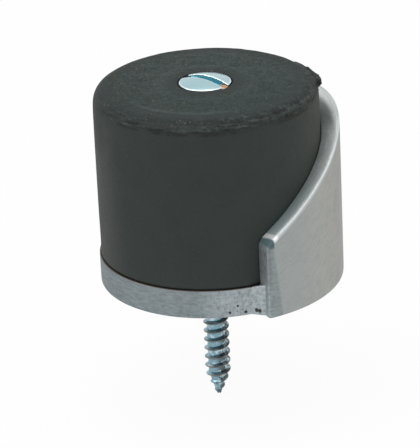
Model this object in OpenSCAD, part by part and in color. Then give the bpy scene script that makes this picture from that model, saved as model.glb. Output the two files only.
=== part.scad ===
// Floor door stop: a rubber buffer in a half-open cast holder, held down by one screw.
// Millimetres. The origin is the middle of the holder's underside, +Z is up, the wall stands at +Y
// and the holder is open towards -Y.

/* [Buffer] */
// Diameter of the rubber buffer
buffer_d = 30; // [24:0.5:40]
// Height of the rubber buffer at its rim
buffer_h = 23.4; // [18:0.1:40]
// Rounding of the buffer's top rim
buffer_rim_r = 1.8; // [0.4:0.1:2]
// Rise of the buffer's top from its rim to the screw's head
crown_h = 0.2; // [0.1:0.1:1]
// Chamfer round the buffer's foot
buffer_foot_c = 0.4; // [0.2:0.1:1]

/* [Holder] */
// Thickness of the base under the buffer
base_t = 4; // [3:0.5:8]
// Thickness of the curved wall
wall_t = 2.4; // [1.6:0.1:4]
// Gap between the buffer's side and the wall
side_gap = 0.3; // [0.2:0.1:1]
// Height of the wall's slanted top over the screw's axis
cut_h = 11.4; // [10:0.1:16]
// Slope of the wall's slanted top, rising towards the back, in degrees
cut_slope = 34; // [20:1:40]
// Rounding where the slanted top turns down into the wall's ends
cut_knee_r = 2; // [0.5:0.1:3]
// How far the wall's ends reach past the middle, towards the open front
wall_overrun = 1.5; // [0.5:0.1:4]
// Rounding of the outer corners at the wall's ends
wall_corner_r = 0.4; // [0.3:0.1:1.5]
// Width of the small webs in the corners between the open rim and the wall's ends
nook_c = 1.5; // [0.5:0.1:2]

/* [Washer] */
// Outer diameter of the steel washer moulded into the buffer
washer_d = 15; // [10:0.5:20]
// Hole of the washer, which carries the cone of the screw's head
washer_hole_d = 5.3; // [5:0.1:6]
// Thickness of the washer
washer_t = 1.2; // [0.6:0.1:2]

/* [Screw] */
// Length of the screw from the rim of its head to its point
screw_l = 46; // [38:1:60]
// Diameter over the thread
thread_d = 3.5; // [3:0.1:4.2]
// Diameter of the core under the thread
core_d = 2.6; // [2.2:0.1:2.8]
// Rise of the thread in one turn
thread_pitch = 1.3; // [1:0.1:1.6]
// Width of the thread's crest
crest_w = 0.12; // [0.08:0.01:0.2]
// Angle between the thread's flanks, in degrees
flank_angle = 60; // [40:1:70]
// Length of the tapered point
point_l = 3.4; // [2:0.1:5]
// Diameter of the head
head_d = 7; // [6.5:0.1:9]
// Height of the straight edge round the head
head_edge_h = 0.25; // [0.1:0.05:0.5]
// Rise of the head's dome over its rim
head_rise = 0.7; // [0.5:0.1:1.5]
// Width of the driver slot
slot_w = 1.2; // [0.6:0.1:1.4]
// Depth of the driver slot under the top of the dome
slot_depth = 1; // [0.8:0.1:1.8]
// Direction of the driver slot from the X axis, in degrees
slot_turn = 22; // [0:1:180]

/* [Clearances] */
// Gap round the thread in the buffer and in the holder
screw_gap = 0.35; // [0.3:0.05:0.6]
// Gap between the screw's head and its seat
head_gap = 0.2; // [0.1:0.05:0.4]

/* [Hidden] */
$fn = 96;

// How far a cutting shape runs past the face that it cuts
past = 1;
// How far a corner web sinks into the base and the wall, as a share of its width
web_sink = 0.2;

buffer_r = buffer_d / 2;
buffer_top_z = base_t + buffer_h;

seat_r = buffer_r + side_gap;
wall_r = seat_r + wall_t;
wall_top_z = cut_h + wall_r * tan(cut_slope);

thread_r = thread_d / 2;
core_r = core_d / 2;
bore_r = thread_r + screw_gap;

// The head: a straight edge, a 90 degree cone down to a short neck, and a dome on top
head_r = head_d / 2;
neck_gap = 0.05;
neck_r = thread_r + neck_gap;
rim_z = buffer_top_z + crown_h;
cone_top_z = rim_z - head_edge_h;
neck_z = cone_top_z - (head_r - neck_r);
neck_l = thread_pitch / 2;
tip_z = rim_z - screw_l;
dome_r = (head_r * head_r + head_rise * head_rise) / (2 * head_rise);

// The seat follows the head's cone at head_gap, measured square to the cone
seat_gap = head_gap * sqrt(2);
head_hole_r = head_r + head_gap;
function seat_z(r) = neck_z + r - neck_r - seat_gap;

washer_r = washer_d / 2;
washer_hole_r = washer_hole_d / 2;
washer_top_z = seat_z(washer_hole_r);
washer_z = washer_top_z - washer_t;

// The thread is one helix of ridge sections: root, crest, crest, root. It starts a little over the
// point and ends inside the head, by these shares of the point's length and of one turn.
start_share = 0.15;
end_share = 0.75;
turn_steps = 16;
step_rise = thread_pitch / turn_steps;
flank_w = (thread_r - core_r) * tan(flank_angle / 2);
ridge_z = [0, flank_w, flank_w + crest_w, 2 * flank_w + crest_w];
thread_top_z = neck_z + end_share * thread_pitch;
thread_low_z = tip_z + start_share * point_l;
helix_steps = floor((thread_top_z - ridge_z[3] - thread_low_z) / step_rise);
helix_z = thread_top_z - ridge_z[3] - helix_steps * step_rise;

// Radius of the thread at height z, narrowing to nothing over the point
function point_r(r, z) = r * min(1, (z - tip_z) / point_l);

// Corner k of the ridge section at step i along the helix
function ridge_point(i, k) =
    let (z = helix_z + i * step_rise + ridge_z[k])
    let (r = point_r(k == 1 || k == 2 ? thread_r : core_r, z))
    let (turn = i * 360 / turn_steps)
    [r * cos(turn), r * sin(turn), z];

// A half disc seen from above, with its two front corners rounded
module wall_plan() {
    corner_y = wall_corner_r - wall_overrun;
    corner_x = sqrt(pow(wall_r - wall_corner_r, 2) - corner_y * corner_y);
    reach = (wall_r + past) / (wall_r - wall_corner_r);
    difference() {
        circle(wall_r);
        translate([-wall_r - past, -wall_overrun - 2 * wall_r])
            square([2 * (wall_r + past), 2 * wall_r]);
        for (side = [-1, 1])
            difference() {
                polygon([
                    [side * corner_x, corner_y],
                    [side * corner_x, -wall_overrun - past],
                    [side * (wall_r + past), -wall_overrun - past],
                    [side * corner_x * reach, corner_y * reach]
                ]);
                translate([side * corner_x, corner_y])
                    circle(wall_corner_r);
            }
    }
}

// Side view of what the slanted plane leaves outside the rounding at the wall's ends
module knee_corner() {
    knee_y = cut_knee_r - wall_overrun;
    knee_z = cut_h + knee_y * tan(cut_slope) - cut_knee_r / cos(cut_slope);
    reach = cut_knee_r + past;
    difference() {
        polygon([
            [knee_y, knee_z],
            [-wall_overrun - past, knee_z],
            [-wall_overrun - past, knee_z + reach * cos(cut_slope)],
            [knee_y - reach * sin(cut_slope), knee_z + reach * cos(cut_slope)]
        ]);
        translate([knee_y, knee_z])
            circle(cut_knee_r);
    }
}

// The corner webs seen from above: triangles whose three corners lie inside the base and the wall
module nook_plan() {
    reach = min(nook_c, wall_t - wall_corner_r);
    rim_y = -wall_overrun - reach;
    rim_x = sqrt(seat_r * seat_r - rim_y * rim_y);
    end_x = sqrt(seat_r * seat_r - wall_overrun * wall_overrun) + reach;
    deep_x = web_sink * (end_x - rim_x);
    deep_y = web_sink * reach;
    for (side = [-1, 1])
        polygon([
            [side * (rim_x - deep_x), rim_y - deep_y],
            [side * (end_x + deep_x), deep_y - wall_overrun],
            [side * (rim_x - deep_x), deep_y - wall_overrun]
        ]);
}

// The wall before it is hollowed: the half disc raised, cut by one slanted plane and rounded at the knee
module wall_block() {
    cut = 4 * wall_r;
    difference() {
        linear_extrude(wall_top_z + past)
            wall_plan();
        translate([0, 0, cut_h])
            rotate([cut_slope, 0, 0])
                translate([-cut / 2, -cut / 2, 0])
                    cube(cut);
        translate([-wall_r - past, 0, 0])
            rotate([90, 0, 90])
                linear_extrude(2 * (wall_r + past))
                    knee_corner();
    }
}

module holder() {
    color("silver")
        difference() {
            union() {
                cylinder(r = seat_r, h = base_t);
                wall_block();
                linear_extrude(base_t)
                    nook_plan();
            }
            translate([0, 0, base_t])
                cylinder(r = seat_r, h = wall_top_z);
            translate([0, 0, -past])
                cylinder(r = bore_r, h = base_t + 2 * past);
        }
}

// Half section of the buffer's outside: a crowned top, a rounded top rim and a chamfered foot
module buffer_outline() {
    difference() {
        union() {
            square([buffer_r, buffer_h - buffer_rim_r]);
            polygon([
                [0, 0],
                [buffer_r - buffer_rim_r, 0],
                [buffer_r - buffer_rim_r, buffer_h],
                [head_hole_r, buffer_h + crown_h],
                [0, buffer_h + crown_h]
            ]);
            translate([buffer_r - buffer_rim_r, buffer_h - buffer_rim_r])
                circle(buffer_rim_r);
        }
        polygon([
            [buffer_r - buffer_foot_c, 0],
            [buffer_r + past, -past],
            [buffer_r + past, buffer_foot_c + past],
            [buffer_r, buffer_foot_c]
        ]);
    }
}

// Half section of what the buffer is hollow for: the bore, the washer and the head's seat
module buffer_hollow() {
    polygon([
        [0, base_t - past],
        [bore_r, base_t - past],
        [bore_r, washer_z],
        [washer_r, washer_z],
        [washer_r, washer_top_z],
        [washer_hole_r, washer_top_z],
        [head_hole_r, seat_z(head_hole_r)],
        [head_hole_r, rim_z + past],
        [0, rim_z + past]
    ]);
}

module rubber_buffer() {
    color("darkslategray")
        rotate_extrude()
            difference() {
                translate([0, base_t])
                    buffer_outline();
                buffer_hollow();
            }
}

module seat_washer() {
    color("lightgray")
        translate([0, 0, washer_z])
            difference() {
                cylinder(r = washer_r, h = washer_t);
                translate([0, 0, -past])
                    cylinder(r = washer_hole_r, h = washer_t + 2 * past);
            }
}

// Threaded shank down to the point, as one closed skin that winds up the helix
module threaded_shank() {
    last = helix_steps;
    top = 4 * (last + 1) + 1;
    tip = 4 * (last + 1);
    points = [
        for (i = [0 : last], k = [0 : 3]) ridge_point(i, k),
        [0, 0, tip_z],
        [0, 0, thread_top_z]
    ];
    ridge = [
        for (i = [0 : last - 1], k = [0 : 2])
            [4 * i + k, 4 * i + k + 1, 4 * i + k + 5, 4 * i + k + 4]
    ];
    root = [
        for (i = [0 : last - turn_steps - 1])
            let (above = i + turn_steps)
            [4 * i + 3, 4 * above, 4 * above + 4, 4 * i + 7]
    ];
    point_fan = [for (i = [0 : turn_steps - 1]) [tip, 4 * i, 4 * i + 4]];
    top_fan = [for (i = [last - turn_steps : last - 1]) [4 * i + 3, top, 4 * i + 7]];
    ends = [
        [tip, 4 * turn_steps, 3, 2, 1, 0],
        [4 * (last - turn_steps) + 3, 4 * last, 4 * last + 1, 4 * last + 2, 4 * last + 3, top]
    ];
    polyhedron(points, concat(ridge, root, point_fan, top_fan, ends));
}

// Half section of the screw's head: neck, cone, edge and dome
module head_outline() {
    polygon([
        [0, neck_z - neck_l],
        [neck_r, neck_z - neck_l],
        [neck_r, neck_z],
        [head_r, cone_top_z],
        [head_r, rim_z],
        [0, rim_z]
    ]);
    intersection() {
        translate([0, rim_z + head_rise - dome_r])
            circle(dome_r);
        translate([0, rim_z])
            square([head_r, head_rise]);
    }
}

module fixing_screw() {
    color("lightsteelblue")
        union() {
            difference() {
                rotate_extrude()
                    head_outline();
                rotate([0, 0, slot_turn])
                    translate([-head_d, -slot_w / 2, rim_z + head_rise - slot_depth])
                        cube([2 * head_d, slot_w, slot_depth + past]);
            }
            threaded_shank();
        }
}

holder();
rubber_buffer();
seat_washer();
fixing_screw();
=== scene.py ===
"""Looks of a floor door stop: a rubber buffer in a half-open cast holder, held down by one screw.

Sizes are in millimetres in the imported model's own frame: the origin is the middle of the holder's
underside, +Z is up and the holder is open towards -Y. Each piece is modelled in millimetres and
brought to metres at the end. Turns are in degrees about +Z, counted from +X.
"""

import logging
import math
from dataclasses import dataclass, replace
from enum import Enum, auto
from functools import cached_property, reduce
from typing import Any, Callable, Sequence

import bmesh
import bpy
from mathutils import Matrix, Vector

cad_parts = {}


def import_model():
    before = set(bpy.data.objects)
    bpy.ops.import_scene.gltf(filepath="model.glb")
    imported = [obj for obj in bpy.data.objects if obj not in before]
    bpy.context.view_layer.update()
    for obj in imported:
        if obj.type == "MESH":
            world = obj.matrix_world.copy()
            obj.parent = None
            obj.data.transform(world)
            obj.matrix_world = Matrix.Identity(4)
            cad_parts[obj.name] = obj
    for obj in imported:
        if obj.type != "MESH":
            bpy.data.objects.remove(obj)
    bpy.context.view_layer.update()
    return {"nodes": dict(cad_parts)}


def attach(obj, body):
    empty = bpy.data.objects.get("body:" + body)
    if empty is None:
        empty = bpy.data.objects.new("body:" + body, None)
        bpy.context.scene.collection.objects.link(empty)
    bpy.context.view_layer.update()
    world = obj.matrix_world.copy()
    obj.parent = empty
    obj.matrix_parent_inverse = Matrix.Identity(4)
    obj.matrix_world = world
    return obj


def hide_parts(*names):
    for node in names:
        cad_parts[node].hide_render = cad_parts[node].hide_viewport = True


MM = 0.001
NEAR = 0.06
CLOSE = 0.02
MARGIN = 1.0
LEVEL = 0.9
UPRIGHT_LEAN = 0.05
LOG = logging.getLogger("door_stop")

Colour = tuple[float, float, float]
Point = tuple[float, float, float]
Stop = tuple[float, float]
Fade = tuple[float, float]
Solid = bpy.types.Object
Socket = bpy.types.NodeSocket
Test = Callable[[Any], bool]


class Body(Enum):
    """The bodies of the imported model."""

    HOLDER = "holder"
    BUFFER = "buffer"
    SCREW = "screw"


class CadNode(Enum):
    """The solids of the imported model."""

    HOLDER = "holder"
    BUFFER = "rubber_buffer"
    WASHER = "seat_washer"
    SCREW = "fixing_screw"


class Slot(Enum):
    """The record's material slots."""

    CAST = "cast_aluminium"
    RUBBER = "black_rubber"
    ZINC = "zinc_steel"


class Element(Enum):
    """What a selection in edit mode is made of."""

    VERT = "VERT"
    EDGE = "EDGE"
    FACE = "FACE"


class Joining(Enum):
    """How one solid changes another."""

    UNION = "UNION"
    DIFFERENCE = "DIFFERENCE"


class Push(Enum):
    """Which way a cloudy pattern pushes a surface."""

    OUT = "NORMAL"
    UP = "Z"


class Spot(Enum):
    """The faces and sides of the holder that a corner of its mesh can lie on."""

    INSIDE = auto()
    OUTSIDE = auto()
    TOP = auto()
    BELOW_TOP = auto()
    END = auto()
    FOOT = auto()
    ABOVE_FOOT = auto()
    BASE = auto()
    BACK = auto()
    KNEE = auto()
    WALLED = auto()
    OPEN = auto()
    BORE = auto()


@dataclass(frozen=True)
class Side:
    """The side of the rubber on which a pattern is strong.

    It lies at a turn about the Z axis. The pattern sets in between two shares of the radius towards
    it, and the least share of the push is left on the far side.
    """

    turn: float
    fade: Fade
    least: float = 0.0


@dataclass(frozen=True)
class Zone:
    """Where a pattern pushes the rubber's rim or top.

    The four heights, counted from the lip, are where it starts, is full, begins to fade and ends. It
    sets in between the two radii of its reach.
    """

    heights: tuple[float, float, float, float]
    reach: Fade
    sides: tuple[Side, ...] = ()


@dataclass(frozen=True)
class Lumps:
    """A cloudy pattern: the size of its lumps along X, Y and Z, its detail, depth, direction and zone."""

    name: str
    grain: Point
    detail: int
    depth: float
    push: Push
    zone: Zone
    middle: float = 0.5


@dataclass(frozen=True)
class Grain:
    """A cloudy noise in a material: how fine it is, its detail and its roughness."""

    fineness: float
    detail: float = 3.0
    rough: float = 0.5


@dataclass(frozen=True)
class Coat:
    """A colour that lies over another, and how much of it covers at most."""

    colour: Colour
    cover: float = 1.0


def clear_selection() -> None:
    """Deselect every object."""
    bpy.ops.object.select_all(action="DESELECT")


def make_active(piece: Solid) -> None:
    """Select one object alone and make it the active one.

    Args:
        piece: The object to work on.
    """
    clear_selection()
    piece.select_set(True)
    bpy.context.view_layer.objects.active = piece


def open_mesh(piece: Solid) -> None:
    """Open one object in edit mode with nothing selected.

    Args:
        piece: The object to edit.
    """
    make_active(piece)
    bpy.ops.object.mode_set(mode="EDIT")
    bpy.ops.mesh.select_mode(type=Element.VERT.value)
    bpy.ops.mesh.select_all(action="DESELECT")


def close_mesh() -> None:
    """Go back to object mode."""
    bpy.ops.object.mode_set(mode="OBJECT")


def pick(piece: Solid, kind: Element, test: Test) -> int:
    """Select the elements of the open mesh that pass a test, and nothing else.

    Args:
        piece: The object in edit mode.
        kind: Whether vertices, edges or faces are selected.
        test: Takes a vertex, edge or face and says whether it is wanted.

    Returns:
        How many elements were selected.
    """
    bpy.ops.mesh.select_mode(type=kind.value)
    bpy.ops.mesh.select_all(action="DESELECT")
    mesh = bmesh.from_edit_mesh(piece.data)
    mesh.normal_update()
    elements = {Element.VERT: mesh.verts, Element.EDGE: mesh.edges, Element.FACE: mesh.faces}[kind]
    found = [element for element in elements if test(element)]
    for element in found:
        element.select_set(True)
    bmesh.update_edit_mesh(piece.data)
    return len(found)


def keep_selected(piece: Solid, test: Test) -> Vector:
    """Deselect the selected faces of the open mesh that fail a test.

    Args:
        piece: The object in edit mode.
        test: Takes a face and says whether it stays selected.

    Returns:
        The middle of the faces that stay.
    """
    mesh = bmesh.from_edit_mesh(piece.data)
    for face in mesh.faces:
        if face.select and not test(face):
            face.select_set(False)
    mesh.select_flush_mode()
    middles = [face.calc_center_median() for face in mesh.faces if face.select]
    bmesh.update_edit_mesh(piece.data)
    return sum(middles, Vector()) / len(middles)


def weigh_edges(piece: Solid, test: Test, weight: float) -> None:
    """Give edges of the open mesh their share of the bevel's width.

    Args:
        piece: The object in edit mode.
        test: Says which edges are meant.
        weight: The share, from 0 to 1.
    """
    if not pick(piece, Element.EDGE, test):
        raise ValueError(f"{piece.name}: no edge to bevel")
    bpy.ops.transform.edge_bevelweight(value=weight)


def extrude_ring(radius: float, height: float, old: Stop) -> Stop:
    """Extrude the selected cap to another radius and height about the Z axis.

    Args:
        radius: The new radius.
        height: The new height.
        old: The cap's radius and height so far.

    Returns:
        The cap's new radius and height.
    """
    bpy.ops.mesh.extrude_region_move(TRANSFORM_OT_translate={"value": (0, 0, height - old[1])})
    share = radius / old[0]
    bpy.ops.transform.resize(value=(share, share, 1), center_override=(0, 0, height))
    return radius, height


def apply_modifier(piece: Solid, kind: str, **settings: Any) -> None:
    """Add a modifier to a piece and apply it.

    Args:
        piece: The object that gets it.
        kind: The modifier's type.
        **settings: Its settings by name.
    """
    make_active(piece)
    bpy.ops.object.modifier_add(type=kind)
    modifier = piece.modifiers[-1]
    for name, value in settings.items():
        setattr(modifier, name, value)
    bpy.ops.object.modifier_apply(modifier=modifier.name)


def combine(piece: Solid, other: Solid, joining: Joining) -> None:
    """Join or cut a piece with another solid, which is then removed."""
    apply_modifier(piece, "BOOLEAN", operation=joining.value, object=other, solver="EXACT")
    bpy.data.objects.remove(other)


def add_cylinder(name: str, radius: float, low: float, high: float, segments: int) -> Solid:
    """Add a capped cylinder on the Z axis.

    Args:
        name: The object's name.
        radius: Its radius.
        low: The height of its lower end.
        high: The height of its upper end.
        segments: Its sides.

    Returns:
        The new object.
    """
    clear_selection()
    bpy.ops.mesh.primitive_cylinder_add(
        vertices=segments, radius=radius, depth=high - low, location=(0, 0, (low + high) / 2)
    )
    bpy.ops.object.transform_apply(location=True, rotation=True, scale=True)
    piece = bpy.context.object
    piece.name = name
    return piece


def bring_to_frame(piece: Solid) -> None:
    """Bring a finished piece from millimetres to metres, with its place in its mesh.

    Args:
        piece: The object, still in millimetres.
    """
    make_active(piece)
    bpy.ops.transform.resize(value=(MM, MM, MM), center_override=(0, 0, 0))
    bpy.ops.object.transform_apply(location=True, rotation=True, scale=True)
    bpy.ops.object.shade_smooth()


def round_cage(segments: int) -> float:
    """Return how much larger a round cage is than the smooth circle that it subdivides to."""
    return 3 / (2 + math.cos(2 * math.pi / segments))


def axis_radius(co: Vector) -> float:
    """Return a point's distance from the Z axis."""
    return math.hypot(co.x, co.y)


def ramp(value: float, low: float, high: float) -> float:
    """Return a smooth rise from 0 at low to 1 at high."""
    share = min(1.0, max(0.0, (value - low) / (high - low)))
    return share * share * (3 - 2 * share)


def looks_up(face: Any) -> bool:
    """Return whether a face of the open mesh looks straight up."""
    return face.normal.z > LEVEL


def is_upright(edge: Any) -> bool:
    """Return whether an edge of the open mesh stands upright."""
    a, b = edge.verts
    return abs(a.co.x - b.co.x) + abs(a.co.y - b.co.y) < abs(a.co.z - b.co.z) * UPRIGHT_LEAN


def displace(piece: Solid, lumps: Lumps, weight: Callable[[Vector], float]) -> None:
    """Push part of a surface in and out by a cloudy pattern.

    Args:
        piece: The object, still in millimetres.
        lumps: The pattern.
        weight: Says how much of the push a point takes, from 0 to 1.
    """
    group = piece.vertex_groups.new(name=lumps.name)
    for vert in piece.data.vertices:
        share = weight(vert.co)
        if share > 0:
            group.add([vert.index], share, "REPLACE")
    clouds = bpy.data.textures.new(lumps.name, "CLOUDS")
    clouds.noise_scale = 1.0
    clouds.noise_depth = lumps.detail
    clear_selection()
    bpy.ops.object.empty_add(location=(0, 0, 0))
    rule = bpy.context.object
    rule.scale = lumps.grain
    bpy.context.view_layer.update()
    apply_modifier(
        piece,
        "DISPLACE",
        texture=clouds,
        texture_coords="OBJECT",
        texture_coords_object=rule,
        vertex_group=lumps.name,
        strength=lumps.depth,
        mid_level=lumps.middle,
        direction=lumps.push.value,
    )
    bpy.data.objects.remove(rule)


def paint(piece: Solid, material: bpy.types.Material) -> None:
    """Give a piece one material in place of those that it has."""
    piece.data.materials.clear()
    piece.data.materials.append(material)


class Graph:
    """The node tree of a material or the world, with short calls for the nodes used here."""

    def __init__(self, owner: bpy.types.Material | bpy.types.World) -> None:
        """Open the tree.

        Args:
            owner: The material or world that the tree belongs to.
        """
        owner.use_nodes = True
        self.owner = owner
        self.nodes = owner.node_tree.nodes
        self.links = owner.node_tree.links

    def put(self, socket: Socket, value: Any) -> None:
        """Set a socket, or link it if the value is another node's output.

        Args:
            socket: The input.
            value: A number, colour, vector or output socket.
        """
        if isinstance(value, Socket):
            self.links.new(value, socket)
        elif socket.type == "RGBA" and len(value) == 3:
            socket.default_value = (*value, 1)
        else:
            socket.default_value = value

    def shade(self, **inputs: Any) -> None:
        """Set the shader's inputs.

        Args:
            **inputs: Values by socket name, with underscores for spaces.
        """
        for name, value in inputs.items():
            self.put(self.nodes["Principled BSDF"].inputs[name.replace("_", " ")], value)

    def add(self, kind: str, values: dict[Any, Any], **settings: Any) -> bpy.types.Node:
        """Add a node.

        Args:
            kind: The node's type, without its ShaderNode prefix.
            values: Its inputs by name or number.
            **settings: Its own settings.

        Returns:
            The node.
        """
        node = self.nodes.new("ShaderNode" + kind)
        for name, value in settings.items():
            setattr(node, name, value)
        for key, value in values.items():
            self.put(node.inputs[key], value)
        return node

    @cached_property
    def place(self) -> Socket:
        """Return the surface point in the part's frame, in millimetres."""
        where = self.add("TexCoord", {}).outputs["Object"]
        return self.add("VectorMath", {0: where, "Scale": 1 / MM}, operation="SCALE").outputs[0]

    @cached_property
    def parts(self) -> tuple[Socket, ...]:
        """Return the surface point's X, Y and Z."""
        return tuple(self.add("SeparateXYZ", {0: self.place}).outputs)

    @cached_property
    def radius(self) -> Socket:
        """Return the surface point's distance from the Z axis."""
        x, y, _ = self.parts
        return self.math("SQRT", self.math("ADD", self.product(x, x), self.product(y, y)))

    def towards(self, turn: float) -> Socket:
        """Return how far the surface point lies towards a direction about the Z axis."""
        x, y, _ = self.parts
        return self.add_up((x, math.cos(math.radians(turn))), (y, math.sin(math.radians(turn))))

    def join(self, x: Any, y: Any, z: Any) -> Socket:
        """Return a vector made of three parts."""
        return self.add("CombineXYZ", {0: x, 1: y, 2: z}).outputs[0]

    def stretch(self, vector: Any, factors: Point) -> Socket:
        """Return a vector with each part times its own factor."""
        return self.add("VectorMath", {0: vector, 1: factors}, operation="MULTIPLY").outputs[0]

    def math(self, operation: str, a: Any, b: Any = 0.0) -> Socket:
        """Return the result of one sum on two values."""
        return self.add("Math", {0: a, 1: b}, operation=operation).outputs[0]

    def product(self, *factors: Any) -> Socket:
        """Return some values multiplied together."""
        return reduce(lambda a, b: self.math("MULTIPLY", a, b), factors)

    def add_up(self, *terms: tuple[Any, float]) -> Socket:
        """Return the sum of some values, each times its own factor."""
        return reduce(lambda a, b: self.math("ADD", a, b), [self.product(*term) for term in terms])

    def step(self, value: Any, fade: Fade, start: float = 0.0) -> Socket:
        """Return a smooth step from 0 to 1.

        Args:
            value: What the step follows.
            fade: Where it is 0 and where it is 1, in either order.
            start: What the two are counted from.

        Returns:
            The step.
        """
        values = {"Value": value, "From Min": start + fade[0], "From Max": start + fade[1]}
        return self.add("MapRange", values, interpolation_type="SMOOTHSTEP").outputs[0]

    def between(self, value: Any, ends: Fade) -> Socket:
        """Return a share from 0 to 1 spread evenly from one end to the other."""
        return self.add("MapRange", {"Value": value, "To Min": ends[0], "To Max": ends[1]}).outputs[0]

    def noise(self, vector: Any, grain: Grain) -> Socket:
        """Return a cloudy noise between 0 and 1.

        Args:
            vector: Where the noise is read.
            grain: Its fineness, detail and roughness.

        Returns:
            The noise.
        """
        values = {"Scale": grain.fineness, "Detail": grain.detail, "Roughness": grain.rough}
        return self.add("TexNoise", {"Vector": vector, **values}).outputs[0]

    def cells(self, vector: Any, fineness: float) -> Socket:
        """Return the distance to the middle of the nearest of many scattered points."""
        return self.add("TexVoronoi", {"Vector": vector, "Scale": fineness}).outputs["Distance"]

    def mix(self, share: Any, first: Any, second: Any) -> Socket:
        """Return a colour between two colours."""
        return self.add("Mix", {0: share, 6: first, 7: second}, data_type="RGBA").outputs[2]

    def coat(self, under: Any, coat: Coat, *masks: Any) -> Socket:
        """Lay a coat over a colour where all the masks meet.

        Args:
            under: The colour under it.
            coat: The coat.
            *masks: Shares from 0 to 1.

        Returns:
            The colour.
        """
        shares = masks if coat.cover == 1 else (*masks, coat.cover)
        return self.mix(self.product(*shares), under, coat.colour)

    def blend(self, share: Any, first: Any, second: Any) -> Socket:
        """Return a number between two numbers."""
        return self.add("Mix", {0: share, 2: first, 3: second}, data_type="FLOAT").outputs[0]

    def bump(self, height: Any, depth: float) -> Socket:
        """Return a normal that is roughened by a height, where 1 stands for a depth in millimetres."""
        return self.add("Bump", {"Height": height, "Distance": depth * MM, "Strength": 1.0}).outputs[0]


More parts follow.
